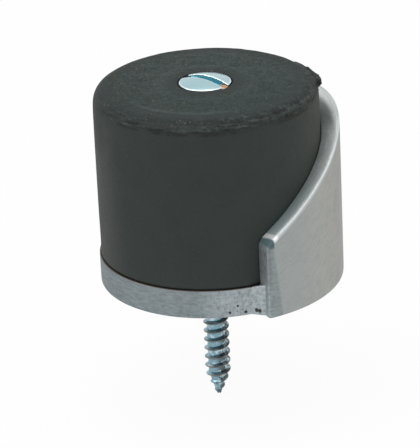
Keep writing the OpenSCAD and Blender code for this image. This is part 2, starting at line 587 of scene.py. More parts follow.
@dataclass(frozen=True)
class CastFinish:
    """Cast aluminium: a sanded wall, a ground slanted top, and an as-cast rim and ends with pits, with
    painted light and shade over them.
    """

    name: str = "cast_aluminium"
    seat_radius: float = 15.3
    wall_radius: float = 17.7
    base_height: float = 4.0
    cut_height: float = 11.4
    cut_slope: float = 34.0
    end_face: float = -1.5
    skin: Fade = (-0.5, -0.25)
    border: float = 0.52
    border_rise: float = 0.108
    border_fade: Fade = (-0.25, 0.2)
    cut_fade: Fade = (-0.6, -0.2)
    cut_start: Fade = (1.0, 3.0)
    edge_tint: Colour = (0.62, 0.62, 0.62)
    metal: Fade = (0.8, 0.6)
    bump_depth: float = 0.08

    sanded_cool: Colour = (0.37, 0.40, 0.395)
    # Warmer tone with painted light, laid on towards +Y.
    sanded_warm_light: Coat = Coat((0.455, 0.455, 0.42))
    sanded_dark: Coat = Coat((0.32, 0.335, 0.33))
    warm_light_fade: Fade = (1.0, 11.0)
    darkening: Fade = (0.56, 0.36)
    brush: Grain = Grain(1.0, 5, 0.7)
    brush_stretch: Point = (0.5, 5.0, 0.0)
    brush_slope: float = 0.54
    brush_depth: float = 0.14
    broad: Grain = Grain(0.3)
    speck: Grain = Grain(4.5, 3, 0.6)
    sanded_shares: Point = (0.55, 0.3, 0.15)
    sanded_rough: Fade = (0.4, 0.5)

    cast_dark: Colour = (0.17, 0.20, 0.21)
    cast_light: Colour = (0.37, 0.42, 0.44)
    cast_fade: Fade = (0.3, 0.7)
    cast_rough: Fade = (0.42, 0.62)
    streak: Grain = Grain(1.0, 6, 0.7)
    streak_stretch: Point = (0.7, 0.7, 2.6)
    mottle: Grain = Grain(1.7, 6, 0.75)
    mottle_share: float = 0.4
    # Painted shade that darkens the rim towards the left.
    cast_left_shade: Coat = Coat(cast_dark, 0.4)
    left_shade_turn: float = 241.5
    left_shade_fade: Fade = (-7.0, 13.0)
    cast_bright: Coat = Coat((0.62, 0.68, 0.70), 0.45)
    cast_shadow: Coat = Coat((0.10, 0.115, 0.12), 0.15)
    corner_beside: Fade = (11.5, 15.0)
    corner_front: Fade = (0.4, -0.2)
    corner_grain: Grain = Grain(1.0, 4, 0.6)
    corner_stretch: Point = (3.4, 3.4, 1.5)
    corner_share: float = 0.5
    corner_light: Fade = (0.33, 0.6)
    corner_dark: Fade = (0.47, 0.37)
    strip: Coat = Coat((0.15, 0.142, 0.125), 0.4)
    strip_depth: Fade = (0.75, 0.15)
    strip_rise: Fade = (-1.0, 2.5)
    end_cast: Coat = Coat((0.29, 0.325, 0.32), 0.55)
    end_fade: Fade = (0.3, 0.9)
    # Dirt with painted shade in the gap between the rubber's foot and the rim.
    dirt_and_gap_shade: Coat = Coat((0.085, 0.070, 0.056))
    dirt_low: Fade = (-0.13, -0.04)
    dirt_high: Fade = (1.0, 0.1)
    dirt_gap: Fade = (0.3, 0.05)
    grime_out: float = 0.2
    grime_ragged: float = 1.5
    grime_fade: Fade = (3.0, 3.6)
    grime_cover: Fade = (0.25, 1.0)
    pit: Coat = Coat((0.045, 0.047, 0.043))
    pit_fade: Fade = (1.8, 1.2)
    pit_edge: Grain = Grain(4.0, 3, 0.7)
    pit_edge_depth: float = 1.2
    pore_fineness: float = 2.3
    pore_fade: Fade = (0.16, 0.1)
    pore_patch: Grain = Grain(0.7, 2)
    pore_patch_fade: Fade = (0.52, 0.6)
    pits: tuple[tuple[Point, float], ...] = (
        ((14.25, -5.58, 0.7), 0.22),
        ((14.61, -4.55, 1.55), 0.17),
        ((14.88, -3.55, 0.55), 0.22),
        ((15.72, -2.38, 0.8), 0.3),
        ((16.02, -2.1, 0.75), 0.3),
    )

    ground: Colour = (0.94, 0.97, 0.97)
    ground_dark: Colour = (0.37, 0.42, 0.41)
    ground_rough: float = 0.44
    swept: Grain = Grain(1.0, 4, 0.6)
    swept_stretch: Point = (0.5, 3.0, 0.0)
    swept_fade: Fade = (0.35, 0.65)
    swept_share: float = 0.32
    speck_share: float = 0.5
    # Painted shade that darkens the slanted top towards the rubber.
    rubber_shade_fade: Fade = (0.2, 2.3)
    rubber_shade_share: float = 0.68
    # Painted shade that tones down the highlight on the outer rounding.
    ground_rounding_shade: Coat = Coat((0.50, 0.54, 0.54), 0.9)
    rounding_shade_fade: Fade = (-0.6, -0.25)
    # Painted shade with a teal tint on the slanted top's low part.
    ground_low_shade: Coat = Coat((0.32, 0.41, 0.42), 0.75)
    low_shade_heights: Fade = (19.0, 12.0)
    low_shade_depth: Fade = (-0.3, -1.0)
    crest_slope: float = 0.45
    ground_shade: Coat = Coat((0.27, 0.30, 0.29))
    shade_crest: Fade = (30.3, 29.2)
    shade_heights: Fade = (20.2, 21.4)
    shade_depth: Fade = (-0.4, -1.4)
    # Painted light on the slanted top's high end.
    ground_lit_end: Coat = Coat((0.74, 0.78, 0.77))
    lit_end_crest: Fade = (29.6, 30.6)
    # Painted shade along the outer edge of the slanted top's high end.
    ground_top_edge_shade: Coat = Coat(ground_dark, 0.6)
    top_edge_shade_depth: Fade = (-0.8, -0.2)
    painted_light_heights: Fade = (21.4, 22.2)
    crease: float = -3.72
    crease_turn: float = 0.19
    # Painted highlight along the knee's crease.
    crease_highlight: Coat = Coat((0.96, 0.97, 0.97), 0.8)
    crease_highlight_middle: float = 0.25
    crease_highlight_fade: Fade = (0.45, 0.1)
    # Painted dark reflection on the knee.
    knee_dark_reflection: Coat = Coat((0.10, 0.155, 0.165))
    knee_fade: Fade = (0.0, -0.22)
    knee_heights: Fade = (9.6, 10.3)
    knee_rough: float = 0.7

    def material(self) -> bpy.types.Material:
        """Build the finish.

        Returns:
            The material.
        """
        graph = Graph(bpy.data.materials.new(self.name))
        x, y, z = graph.parts
        outside = graph.step(graph.radius, self.skin, self.wall_radius)
        beyond = graph.add_up((y, 1.0), (z, self.border_rise))
        sanded = graph.product(outside, graph.step(beyond, self.border_fade, self.border))
        cut = self.cut_mask(graph)
        around = graph.product(graph.math("ARCTAN2", x, y), self.wall_radius)
        wiped = graph.join(around, graph.add_up((z, 1.0), (around, self.brush_slope)), 0.0)
        brush = graph.noise(graph.stretch(wiped, self.brush_stretch), self.brush)
        speck = graph.noise(graph.place, self.speck)
        streak = graph.noise(graph.stretch(graph.place, self.streak_stretch), self.streak)
        mottle = graph.noise(graph.place, self.mottle)
        blotch = graph.blend(self.mottle_share, streak, mottle)
        pits = self.pit_mask(graph)
        past = graph.add_up((y, 1.0), (graph.math("ABSOLUTE", x), -self.crease_turn))
        knee = graph.product(
            graph.step(past, self.knee_fade, self.crease), graph.step(z, self.knee_heights)
        )

        cast = self.cast_colour(graph, outside, mottle, blotch, pits)
        colour = graph.mix(sanded, cast, self.sanded_colour(graph, brush, speck))
        colour = graph.mix(cut, colour, self.ground_colour(graph, around, speck, past))
        relief = graph.math("SUBTRACT", blotch, pits)
        rough = graph.between(mottle, self.cast_rough)
        rough = graph.blend(sanded, rough, graph.between(brush, self.sanded_rough))
        rough = graph.blend(cut, rough, self.ground_rough)
        # The knee gets a painted dark reflection over its colour.
        graph.shade(
            Base_Color=graph.coat(colour, self.knee_dark_reflection, knee),
            Metallic=graph.between(cut, self.metal),
            Roughness=graph.blend(knee, rough, self.knee_rough),
            Specular_Tint=self.edge_tint,
            Normal=graph.bump(
                graph.blend(sanded, relief, graph.product(brush, self.brush_depth)), self.bump_depth
            ),
        )
        return graph.owner

    def sanded_colour(self, graph: Graph, brush: Socket, speck: Socket) -> Socket:
        """Colour the sanded outside of the wall, warmer and with painted light towards +Y.

        Args:
            graph: The material's tree.
            brush: The sanding marks.
            speck: The fine noise.

        Returns:
            The colour.
        """
        broad = graph.noise(graph.place, self.broad)
        shade = graph.add_up(*zip((brush, speck, broad), self.sanded_shares))
        # Painted light with a warmer tone towards +Y.
        colour = graph.coat(self.sanded_cool, self.sanded_warm_light, graph.step(graph.parts[1], self.warm_light_fade))
        return graph.coat(colour, self.sanded_dark, graph.step(shade, self.darkening))

    def cast_colour(
        self, graph: Graph, outside: Socket, mottle: Socket, blotch: Socket, pits: Socket
    ) -> Socket:
        """Colour the cast rim, the wall's ends and its inside, with their pits, painted shade towards the
        left, and dirt with painted shade in the gap under the rubber.

        Args:
            graph: The material's tree.
            outside: A mask of the wall's outer face.
            mottle: The mottled noise.
            blotch: The streaked and mottled noise.
            pits: A mask of the pits.

        Returns:
            The colour.
        """
        x, y, z = graph.parts
        colour = graph.mix(graph.step(blotch, self.cast_fade), self.cast_dark, self.cast_light)
        # Painted shade towards the left.
        aside = graph.towards(self.left_shade_turn)
        colour = graph.coat(colour, self.cast_left_shade, graph.step(aside, self.left_shade_fade))
        beside = graph.step(graph.math("ABSOLUTE", x), self.corner_beside)
        corner = graph.product(beside, graph.step(y, self.corner_front, self.end_face))
        drawn = graph.noise(graph.stretch(graph.place, self.corner_stretch), self.corner_grain)
        upright = graph.blend(self.corner_share, drawn, mottle)
        colour = graph.coat(colour, self.cast_bright, corner, graph.step(upright, self.corner_light))
        colour = graph.coat(colour, self.cast_shadow, corner, graph.step(upright, self.corner_dark))
        low = graph.step(z, self.strip_rise, self.base_height)
        colour = graph.coat(colour, self.strip, graph.step(y, self.strip_depth, self.end_face), low)
        colour = graph.coat(colour, self.end_cast, outside, graph.step(y, self.end_fade, self.end_face))
        colour = graph.coat(colour, self.pit, pits)
        # Dirt and painted shade in the gap under the rubber.
        spread = graph.add_up((graph.radius, self.grime_out), (mottle, self.grime_ragged))
        grime_and_gap_shade = graph.step(spread, self.grime_fade)
        return graph.coat(
            colour,
            self.dirt_and_gap_shade,
            graph.step(z, self.dirt_low, self.base_height),
            graph.step(z, self.dirt_high, self.base_height),
            graph.step(graph.radius, self.dirt_gap, self.seat_radius),
            graph.between(grime_and_gap_shade, self.grime_cover),
        )

    def ground_colour(self, graph: Graph, around: Socket, speck: Socket, past: Socket) -> Socket:
        """Colour the wall's slanted top, from its bright outer edge to a painted shade towards the rubber,
        with painted light at its high end, painted shade on its low part and edges and a painted highlight
        on the knee's crease.

        Args:
            graph: The material's tree.
            around: The way round the wall.
            speck: The fine noise.
            past: How far a point lies past the knee's crease.

        Returns:
            The colour.
        """
        z, radius, wall = graph.parts[2], graph.radius, self.wall_radius
        swept = graph.noise(graph.stretch(graph.join(around, radius, 0.0), self.swept_stretch), self.swept)
        # Painted shade towards the rubber, mixed with swept noise.
        lightness = graph.add_up(
            (graph.step(radius, self.rubber_shade_fade, self.seat_radius), self.rubber_shade_share),
            (graph.step(graph.blend(self.speck_share, swept, speck), self.swept_fade), self.swept_share),
        )
        crest = graph.add_up((radius, self.crest_slope), (z, 1.0))
        off = graph.math("ABSOLUTE", graph.math("SUBTRACT", past, self.crease + self.crease_highlight_middle))
        colour = graph.mix(lightness, self.ground_dark, self.ground)
        coats = (
            # Painted shade on the outer rounding.
            (self.ground_rounding_shade, (radius, self.rounding_shade_fade, wall)),
            # Painted shade on the low part.
            (self.ground_low_shade, (z, self.low_shade_heights), (radius, self.low_shade_depth, wall)),
            (
                self.ground_shade,
                (crest, self.shade_crest),
                (z, self.shade_heights),
                (radius, self.shade_depth, wall),
            ),
            # Painted light on the high end.
            (self.ground_lit_end, (crest, self.lit_end_crest)),
            # Painted shade on the high end's outer edge.
            (self.ground_top_edge_shade, (radius, self.top_edge_shade_depth, wall), (z, self.painted_light_heights)),
            # Painted highlight on the knee's crease.
            (self.crease_highlight, (off, self.crease_highlight_fade)),
        )
        for coat, *steps in coats:
            colour = graph.coat(colour, coat, *(graph.step(*step) for step in steps))
        return colour

    def cut_mask(self, graph: Graph) -> Socket:
        """Return a mask of the wall's slanted top.

        Args:
            graph: The material's tree.

        Returns:
            1 on the slanted top and 0 elsewhere.
        """
        _, y, z = graph.parts
        slope = math.radians(self.cut_slope)
        over = graph.add_up((z, math.cos(slope)), (y, -math.sin(slope)))
        mask = graph.step(over, self.cut_fade, self.cut_height * math.cos(slope))
        return graph.product(mask, graph.step(z, self.cut_start, self.base_height))

    def pit_mask(self, graph: Graph) -> Socket:
        """Return a mask of the casting pits: the large ones in their places and small ones scattered.

        Args:
            graph: The material's tree.

        Returns:
            1 in a pit and 0 elsewhere.
        """
        ragged = graph.product(graph.noise(graph.place, self.pit_edge), self.pit_edge_depth)
        patchy = graph.step(graph.noise(graph.place, self.pore_patch), self.pore_patch_fade)
        pores = graph.step(graph.cells(graph.place, self.pore_fineness), self.pore_fade)
        mask = graph.product(pores, patchy)
        wide, narrow = self.pit_fade
        for middle, size in self.pits:
            apart = {0: graph.place, 1: middle}
            away = graph.add("VectorMath", apart, operation="DISTANCE").outputs["Value"]
            away = graph.math("ADD", away, graph.product(ragged, size))
            mask = graph.math("MAXIMUM", mask, graph.step(away, (size * wide, size * narrow)))
        return mask


@dataclass(frozen=True)
class RubberFinish:
    """Moulded black rubber: an even side, a mottled and dusty top and a torn line along its rim, with
    painted light, shade, sheen and highlights over them.
    """

    name: str = "black_rubber"
    radius: float = 15.0
    lip_height: float = 26.5
    head_radius: float = 3.7
    left_turn: float = 241.5
    front_turn: float = -28.5
    top_fade: Fade = (0.3, 0.75)
    cloud: Grain = Grain(0.3, 4, 0.6)
    grain: Grain = Grain(3.5, 4, 0.65)
    blotch: Grain = Grain(1.4, 5, 0.7)
    bump_share: float = 0.4
    bump_depth: float = 0.1
    rough: Fade = (0.66, 0.86)
    shine: float = 0.22

    # Painted light: the side is lit towards its right and shaded towards its left.
    side_lit_right: Colour = (0.049, 0.060, 0.056)
    side_shaded_left: Colour = (0.0285, 0.035, 0.0325)
    side_grain: Coat = Coat((0.026, 0.033, 0.031), 0.25)
    side_grain_share: float = 0.3
    side_grain_fade: Fade = (0.35, 0.65)
    # Dust with a painted reflection of the metal wall along the side's right edge.
    side_dust_and_reflection: Coat = Coat((0.068, 0.071, 0.061), 0.7)
    dust_reflection_side: Fade = (-10.0, -14.8)
    dust_reflection_fade: Fade = (0.3, 0.6)
    # Dust with painted sheen along the side's upper left edge.
    worn: Coat = Coat((0.060, 0.064, 0.061))
    dust_sheen_side: Fade = (11.0, 15.0)
    dust_sheen_fade: Fade = (0.2, 0.6)
    painted_light_heights: Fade = (32.0, 22.0)
    dust_sheen_ragged: float = 12.0

    top_dark: Colour = (0.013, 0.023, 0.021)
    top_light: Colour = (0.040, 0.053, 0.050)
    top_share: float = 0.6
    top_mottle: Fade = (0.43, 0.57)
    # Painted shade on the front of the top.
    top_front_shade: Coat = Coat(top_dark, 0.3)
    front_shade_fade: Fade = (-9.0, 7.0)
    # Painted shade with soot on the top's outer band and round the screw's head.
    top_shade_and_soot: Coat = Coat((0.019, 0.027, 0.025))
    swept: Grain = Grain(1.0, 4, 0.6)
    swept_stretch: Point = (1.6, 0.35, 0.0)
    swept_fade: Fade = (0.38, 0.6)
    ring_radius: float = 11.4
    ring_fade: Fade = (-0.2, 1.2)
    ring_cover: Fade = (0.45, 0.95)
    head_shade_fade: Fade = (2.2, 0.3)
    head_shade_cover: float = 0.95

    torn: Coat = Coat((0.058, 0.076, 0.074))
    crack: Coat = Coat((0.010, 0.013, 0.012))
    rim_shade: Coat = Coat(crack.colour, 0.3)
    rim_low: Fade = (-0.6, -0.3)
    rim_high: Fade = (0.8, 0.4)
    rim_side: Fade = (14.9, 12.5)
    shred: Grain = Grain(1.0, 5, 0.6)
    shred_stretch: Point = (0.45, 0.45, 3.2)
    shred_fine: Grain = Grain(2.2, 3, 0.6)
    shred_share: float = 0.3
    shred_light: Fade = (0.53, 0.64)
    shred_dark: Fade = (0.47, 0.37)
    flap_turn: float = 74.0
    flap_fade: Fade = (-1.1, -0.3)
    # Painted shade under the lifted flap.
    flap_shade_cover: float = 0.85
    frayed_dark: Coat = Coat((0.014, 0.012, 0.009))
    frayed_light: Coat = Coat((0.070, 0.094, 0.092))
    frayed_reach: Fade = (12.6, 14.0)
    frayed_heights: Fade = (-0.4, 0.0)
    frayed_side: Fade = (8.0, -3.0)
    frayed_cover: float = 0.55
    ragged: Grain = Grain(1.4, 4, 0.65)
    ragged_dark: Fade = (0.47, 0.38)
    ragged_light: Fade = (0.53, 0.66)
    under_shade: Coat = Coat(frayed_dark.colour, 0.45)
    under_low: Fade = (-1.0, -0.75)
    under_high: Fade = (-0.3, -0.5)
    under_front: Fade = (2.0, 9.0)
    under_fade: Fade = (0.36, 0.55)

    # Painted highlights: a light arc near the rim and a halo round the head.
    top_highlight: Coat = Coat(torn.colour, 0.5)
    arc_middle: float = 0.5
    arc_width: float = 0.65
    arc_front: Fade = (5.5, 8.0)
    arc_side: Fade = (-6.0, 0.0)
    halo_radius: float = 6.3
    halo_width: float = 1.0
    halo_cover: float = 0.35
    speck: Coat = Coat((0.26, 0.18, 0.09))
    speck_fineness: float = 1.6
    speck_ragged: float = 0.2
    speck_fade: Fade = (0.29, 0.18)
    speck_cover: Fade = (0.08, 0.6)
    dust: Grain = Grain(0.6, 2)
    dust_side: Fade = (-2.0, 11.0)
    dust_more: float = 0.25
    dust_fade: Fade = (0.5, 0.66)

    def material(self) -> bpy.types.Material:
        """Build the finish.

        Returns:
            The material.
        """
        graph = Graph(bpy.data.materials.new(self.name))
        cloud, grain, blotch = (
            graph.noise(graph.place, pattern) for pattern in (self.cloud, self.grain, self.blotch)
        )
        z, lip = graph.parts[2], self.lip_height
        left, front = graph.towards(self.left_turn), graph.towards(self.front_turn)
        top = graph.step(z, self.top_fade, lip)
        drawn = graph.noise(graph.stretch(graph.place, self.shred_stretch), self.shred)
        shreds = graph.blend(self.shred_share, drawn, graph.noise(graph.place, self.shred_fine))
        rim = graph.product(
            graph.step(z, self.rim_low, lip),
            graph.step(z, self.rim_high, lip),
            graph.step(left, self.rim_side),
        )

        side = self.side_colour(graph, left, cloud, grain, blotch)
        colour = graph.mix(top, side, self.top_colour(graph, left, front, grain, blotch))
        colour = self.tear(graph, colour, rim, shreds, left)
        colour = graph.coat(
            colour,
            self.under_shade,
            graph.step(z, self.under_low, lip),
            graph.step(z, self.under_high, lip),
            graph.step(front, self.under_front),
            graph.step(cloud, self.under_fade),
        )
        # The cracks' colour also lays a painted shade under the lifted flap.
        flap = graph.step(graph.towards(self.flap_turn), self.flap_fade, self.radius)
        shredded, flap_shade = graph.step(shreds, self.shred_dark), graph.product(flap, self.flap_shade_cover)
        cracks_and_flap_shade = graph.math("MAXIMUM", shredded, flap_shade)
        colour = graph.coat(colour, self.crack, rim, cracks_and_flap_shade)
        # Painted highlights on the top.
        colour = graph.coat(colour, self.top_highlight, self.highlight_mask(graph, left, front, blotch), top)
        specks = graph.product(self.speck_mask(graph, left, grain), graph.between(top, self.speck_cover))
        relief = graph.blend(rim, graph.blend(self.bump_share, grain, blotch), shreds)
        graph.shade(
            Base_Color=graph.coat(colour, self.speck, specks),
            Roughness=graph.between(cloud, self.rough),
            Specular_IOR_Level=self.shine,
            Normal=graph.bump(relief, self.bump_depth),
        )
        return graph.owner

    def side_colour(
        self, graph: Graph, left: Socket, cloud: Socket, grain: Socket, blotch: Socket
    ) -> Socket:
        """Colour the side, with painted light on its right and painted shade on its left, dust and a
        painted reflection of the metal wall near its right edge, and dust and painted sheen near its upper
        left edge.

        Args:
            graph: The material's tree.
            left: How far a point lies to the left.
            cloud: The broad noise.
            grain: The fine noise.
            blotch: The noise between them.

        Returns:
            The colour.
        """
        # Painted light on the right and painted shade on the left.
        spread = {"Value": left, "From Min": -self.radius, "From Max": self.radius}
        colour = graph.mix(graph.add("MapRange", spread).outputs[0], self.side_lit_right, self.side_shaded_left)
        even = graph.blend(self.side_grain_share, grain, cloud)
        colour = graph.coat(colour, self.side_grain, graph.step(even, self.side_grain_fade))
        # Dust and a painted reflection of the metal wall near the right edge.
        dusty = graph.step(left, self.dust_reflection_side), graph.step(blotch, self.dust_reflection_fade)
        colour = graph.coat(colour, self.side_dust_and_reflection, *dusty)
        # Dust and painted sheen near the upper left edge.
        height = graph.add_up((graph.parts[2], 1.0), (cloud, self.dust_sheen_ragged))
        dust_and_sheen = graph.step(left, self.dust_sheen_side), graph.step(grain, self.dust_sheen_fade)
        return graph.coat(colour, self.worn, *dust_and_sheen, graph.step(height, self.painted_light_heights))

    def top_colour(
        self, graph: Graph, left: Socket, front: Socket, grain: Socket, blotch: Socket
    ) -> Socket:
        """Colour the top, which is mottled, with painted shade on its front, and painted shade with soot
        that makes it browner near its rim and round the screw's head.

        Args:
            graph: The material's tree.
            left: How far a point lies to the left.
            front: How far it lies to the front.
            grain: The fine noise.
            blotch: The coarser noise.

        Returns:
            The colour.
        """
        mottle = graph.step(graph.blend(self.top_share, blotch, grain), self.top_mottle)
        colour = graph.mix(mottle, self.top_dark, self.top_light)
        # Painted shade on the front of the top.
        colour = graph.coat(colour, self.top_front_shade, graph.step(front, self.front_shade_fade))
        swept = graph.noise(graph.stretch(graph.join(front, left, 0.0), self.swept_stretch), self.swept)
        streaks = graph.between(graph.step(swept, self.swept_fade), self.ring_cover)
        # Painted shade with soot on the outer band and round the head.
        ring = graph.product(graph.step(graph.radius, self.ring_fade, self.ring_radius), streaks)
        by_head = graph.step(graph.radius, self.head_shade_fade, self.head_radius)
        head_shade = graph.product(by_head, self.head_shade_cover)
        return graph.coat(colour, self.top_shade_and_soot, graph.math("MAXIMUM", ring, head_shade))

    def tear(self, graph: Graph, colour: Socket, rim: Socket, shreds: Socket, left: Socket) -> Socket:
        """Colour the torn rim and the frayed edge of the top over a plain colour.

        Args:
            graph: The material's tree.
            colour: The plain colour.
            rim: A mask of the rim.
            shreds: The drawn-out noise of the tears.
            left: How far a point lies to the left.

        Returns:
            The colour.
        """
        colour = graph.coat(colour, self.rim_shade, rim)
        colour = graph.coat(colour, self.torn, rim, graph.step(shreds, self.shred_light))
        frayed = graph.product(
            graph.step(graph.radius, self.frayed_reach),
            graph.step(graph.parts[2], self.frayed_heights, self.lip_height),
            graph.step(left, self.frayed_side),
            self.frayed_cover,
        )
        ragged = graph.noise(graph.place, self.ragged)
        colour = graph.coat(colour, self.frayed_dark, frayed, graph.step(ragged, self.ragged_dark))
        return graph.coat(colour, self.frayed_light, frayed, graph.step(ragged, self.ragged_light))

    def highlight_mask(self, graph: Graph, left: Socket, front: Socket, blotch: Socket) -> Socket:
        """Return a mask of the painted highlights on the top: an arc near the rim and a halo round the
        head.

        Args:
            graph: The material's tree.
            left: How far a point lies to the left.
            front: How far it lies to the front.
            blotch: The noise that makes the arc uneven.

        Returns:
            1 on a painted highlight and 0 elsewhere.
        """
        uneven = graph.add_up((graph.radius, 1.0), (blotch, 1.0))
        arc = graph.product(
            self.line(graph, uneven, self.ring_radius + self.arc_middle, self.arc_width),
            graph.step(front, self.arc_front),
            graph.step(left, self.arc_side),
        )
        halo = self.line(graph, graph.radius, self.halo_radius, self.halo_width)
        return graph.math("MAXIMUM", arc, graph.product(halo, self.halo_cover))

    def line(self, graph: Graph, radius: Any, middle: float, half: float) -> Socket:
        """Return a soft mask of a ring with a radius and half width."""
        off = graph.math("ABSOLUTE", graph.math("SUBTRACT", radius, middle))
        return graph.step(off, (half, 0.0))

    def speck_mask(self, graph: Graph, left: Socket, grain: Socket) -> Socket:
        """Return a mask of the scattered specks of dust, with more of them on the left.

        Args:
            graph: The material's tree.
            left: How far a point lies to the left.
            grain: The fine noise that makes them uneven.

        Returns:
            1 on a speck and 0 elsewhere.
        """
        dust = graph.noise(graph.place, self.dust)
        dusty = graph.add_up((dust, 1.0), (graph.step(left, self.dust_side), self.dust_more))
        cells = graph.cells(graph.place, self.speck_fineness)
        away = graph.add_up((cells, 1.0), (grain, self.speck_ragged))
        return graph.product(graph.step(away, self.speck_fade), graph.step(dusty, self.dust_fade))


@dataclass(frozen=True)
class ZincFinish:
    """Blue zinc plate: a bright head with painted highlights on its edges, a darker shank with worn crests,
    painted glints and painted shade under its flanks, and a side with painted shade and tarnish.
    """

    name: str = "zinc_steel"
    plate: Colour = (0.375, 0.55, 0.59)
    cloud: Grain = Grain(1.6, 5, 0.65)
    fleck: Grain = Grain(1.3, 4, 0.6)
    head_rough: Fade = (0.16, 0.3)
    shank_rough: Fade = (0.28, 0.42)
    bump_depth: float = 0.02

    shank: Colour = (0.22, 0.37, 0.44)
    glint: Coat = Coat((0.55, 0.68, 0.72))
    glint_fade: Fade = (0.48, 0.66)
    shank_top: float = 25.0
    shank_fade: Fade = (0.0, -0.4)
    # Painted shade on the thread's downward-facing flanks.
    flank_underside_shade: Coat = Coat((0.02, 0.12, 0.17))
    underside_facing: Fade = (-0.15, -0.6)
    worn: Coat = Coat((0.24, 0.19, 0.15), 0.85)
    crest_radius: float = 1.75
    crest_fade: Fade = (-0.16, -0.03)
    # Painted shade on the side towards 61.5 degrees, with tarnish lower down.
    tarnish_and_right_shade: Coat = Coat((0.085, 0.082, 0.072), 0.85)
    right_shade_turn: float = 61.5
    tarnish_fade: Fade = (0.6, 1.7)
    tarnish_ragged: float = 0.9
    tarnish_low: Fade = (-6.0, -16.0)
    tarnish_more: float = 0.7
    tarnish_fleck: Fade = (0.62, 0.46)

    slot: Coat = Coat((0.016, 0.30, 0.40), 0.9)
    slot_floor: float = 27.3
    slot_half: float = 0.6
    slot_turn: float = 22.0
    slot_high: Fade = (0.38, 0.08)
    slot_low: Fade = (-0.4, -0.2)
    slot_side: Fade = (0.12, 0.02)
    # Painted highlights beside the slot and along the head's rim.
    painted_edge_highlight: Coat = Coat((0.88, 0.92, 0.93), 0.65)
    highlight_side: Fade = (0.24, 0.08)
    highlight_low: Fade = (0.0, 0.1)
    rim_radius: float = 3.5
    rim_highlight_fade: Fade = (-0.26, -0.06)
    rust: Coat = Coat((0.42, 0.25, 0.16))
    rust_fade: Fade = (2.1, 2.7)
    rust_ragged: float = 0.5

    def material(self) -> bpy.types.Material:
        """Build the finish.

        Returns:
            The material.
        """
        graph = Graph(bpy.data.materials.new(self.name))
        cloud = graph.noise(graph.place, self.cloud)
        shank = graph.step(graph.parts[2], self.shank_fade, self.shank_top)
        colour = self.head_colour(graph, self.shank_colour(graph, shank, cloud), cloud)
        rough = graph.between(cloud, self.head_rough)
        graph.shade(
            Base_Color=colour,
            Metallic=1.0,
            Roughness=graph.blend(shank, rough, graph.between(cloud, self.shank_rough)),
            Normal=graph.bump(cloud, self.bump_depth),
        )
        return graph.owner

    def shank_colour(self, graph: Graph, shank: Socket, cloud: Socket) -> Socket:
        """Colour the plate, darker on the shank, with painted glints, painted shade under the flanks, worn
        crests, and painted shade on the side towards 61.5 degrees with tarnish lower down.

        Args:
            graph: The material's tree.
            shank: A mask of the shank.
            cloud: The cloudy noise.

        Returns:
            The colour.
        """
        normal = graph.add("NewGeometry", {}).outputs["Normal"]
        facing = graph.add("SeparateXYZ", {0: normal}).outputs[2]
        fleck = graph.noise(graph.place, self.fleck)
        flecked = graph.coat(self.shank, self.glint, graph.step(fleck, self.glint_fade))
        colour = graph.mix(shank, self.plate, flecked)
        # Painted shade on the downward-facing flanks.
        colour = graph.coat(colour, self.flank_underside_shade, graph.step(facing, self.underside_facing), shank)
        crest = graph.step(graph.radius, self.crest_fade, self.crest_radius)
        colour = graph.coat(colour, self.worn, crest, shank)
        # Painted shade on one side, with tarnish lower down.
        right_shade_and_tarnish = graph.add_up(
            (graph.towards(self.right_shade_turn), 1.0),
            (cloud, self.tarnish_ragged),
            (graph.step(graph.parts[2], self.tarnish_low), self.tarnish_more),
        )
        shade_and_tarnish_masks = graph.step(right_shade_and_tarnish, self.tarnish_fade), graph.step(fleck, self.tarnish_fleck)
        return graph.coat(colour, self.tarnish_and_right_shade, *shade_and_tarnish_masks, shank)

    def head_colour(self, graph: Graph, colour: Socket, cloud: Socket) -> Socket:
        """Paint highlights on the head's edges, and colour its blue slot with a spot of rust, over the
        plate.

        Args:
            graph: The material's tree.
            colour: The plate's colour.
            cloud: The cloudy noise.

        Returns:
            The colour.
        """
        z, floor = graph.parts[2], self.slot_floor
        along = graph.towards(self.slot_turn)
        across = graph.math("ABSOLUTE", graph.towards(self.slot_turn + 90))
        slot = graph.product(
            graph.step(z, self.slot_high, floor),
            graph.step(across, self.slot_side, self.slot_half),
            graph.step(z, self.slot_low, floor),
        )
        # Painted highlights beside the slot and on the rim.
        beside = graph.step(across, self.highlight_side, self.slot_half)
        bright = graph.math("MAXIMUM", beside, graph.step(graph.radius, self.rim_highlight_fade, self.rim_radius))
        colour = graph.coat(colour, self.painted_edge_highlight, bright, graph.step(z, self.highlight_low, floor))
        colour = graph.coat(colour, self.slot, slot)
        far = graph.add_up((along, 1.0), (cloud, self.rust_ragged))
        return graph.coat(colour, self.rust, slot, graph.step(far, self.rust_fade))


@dataclass(frozen=True)
class WasherFinish:
    """Plain rolled steel with fine turning marks."""

    name: str = "washer_steel"
    light: Colour = (0.50, 0.50, 0.49)
    dark: Colour = (0.34, 0.34, 0.33)
    turning: Grain = Grain(9.0)
    rough: Fade = (0.30, 0.42)
    bump_depth: float = 0.01

    def material(self) -> bpy.types.Material:
        """Build the finish.

        Returns:
            The material.
        """
        graph = Graph(bpy.data.materials.new(self.name))
        turned = graph.noise(graph.join(graph.radius, 0.0, 0.0), self.turning)
        graph.shade(
            Base_Color=graph.mix(turned, self.dark, self.light),
            Metallic=1.0,
            Roughness=graph.between(turned, self.rough),
            Normal=graph.bump(turned, self.bump_depth),
        )
        return graph.owner


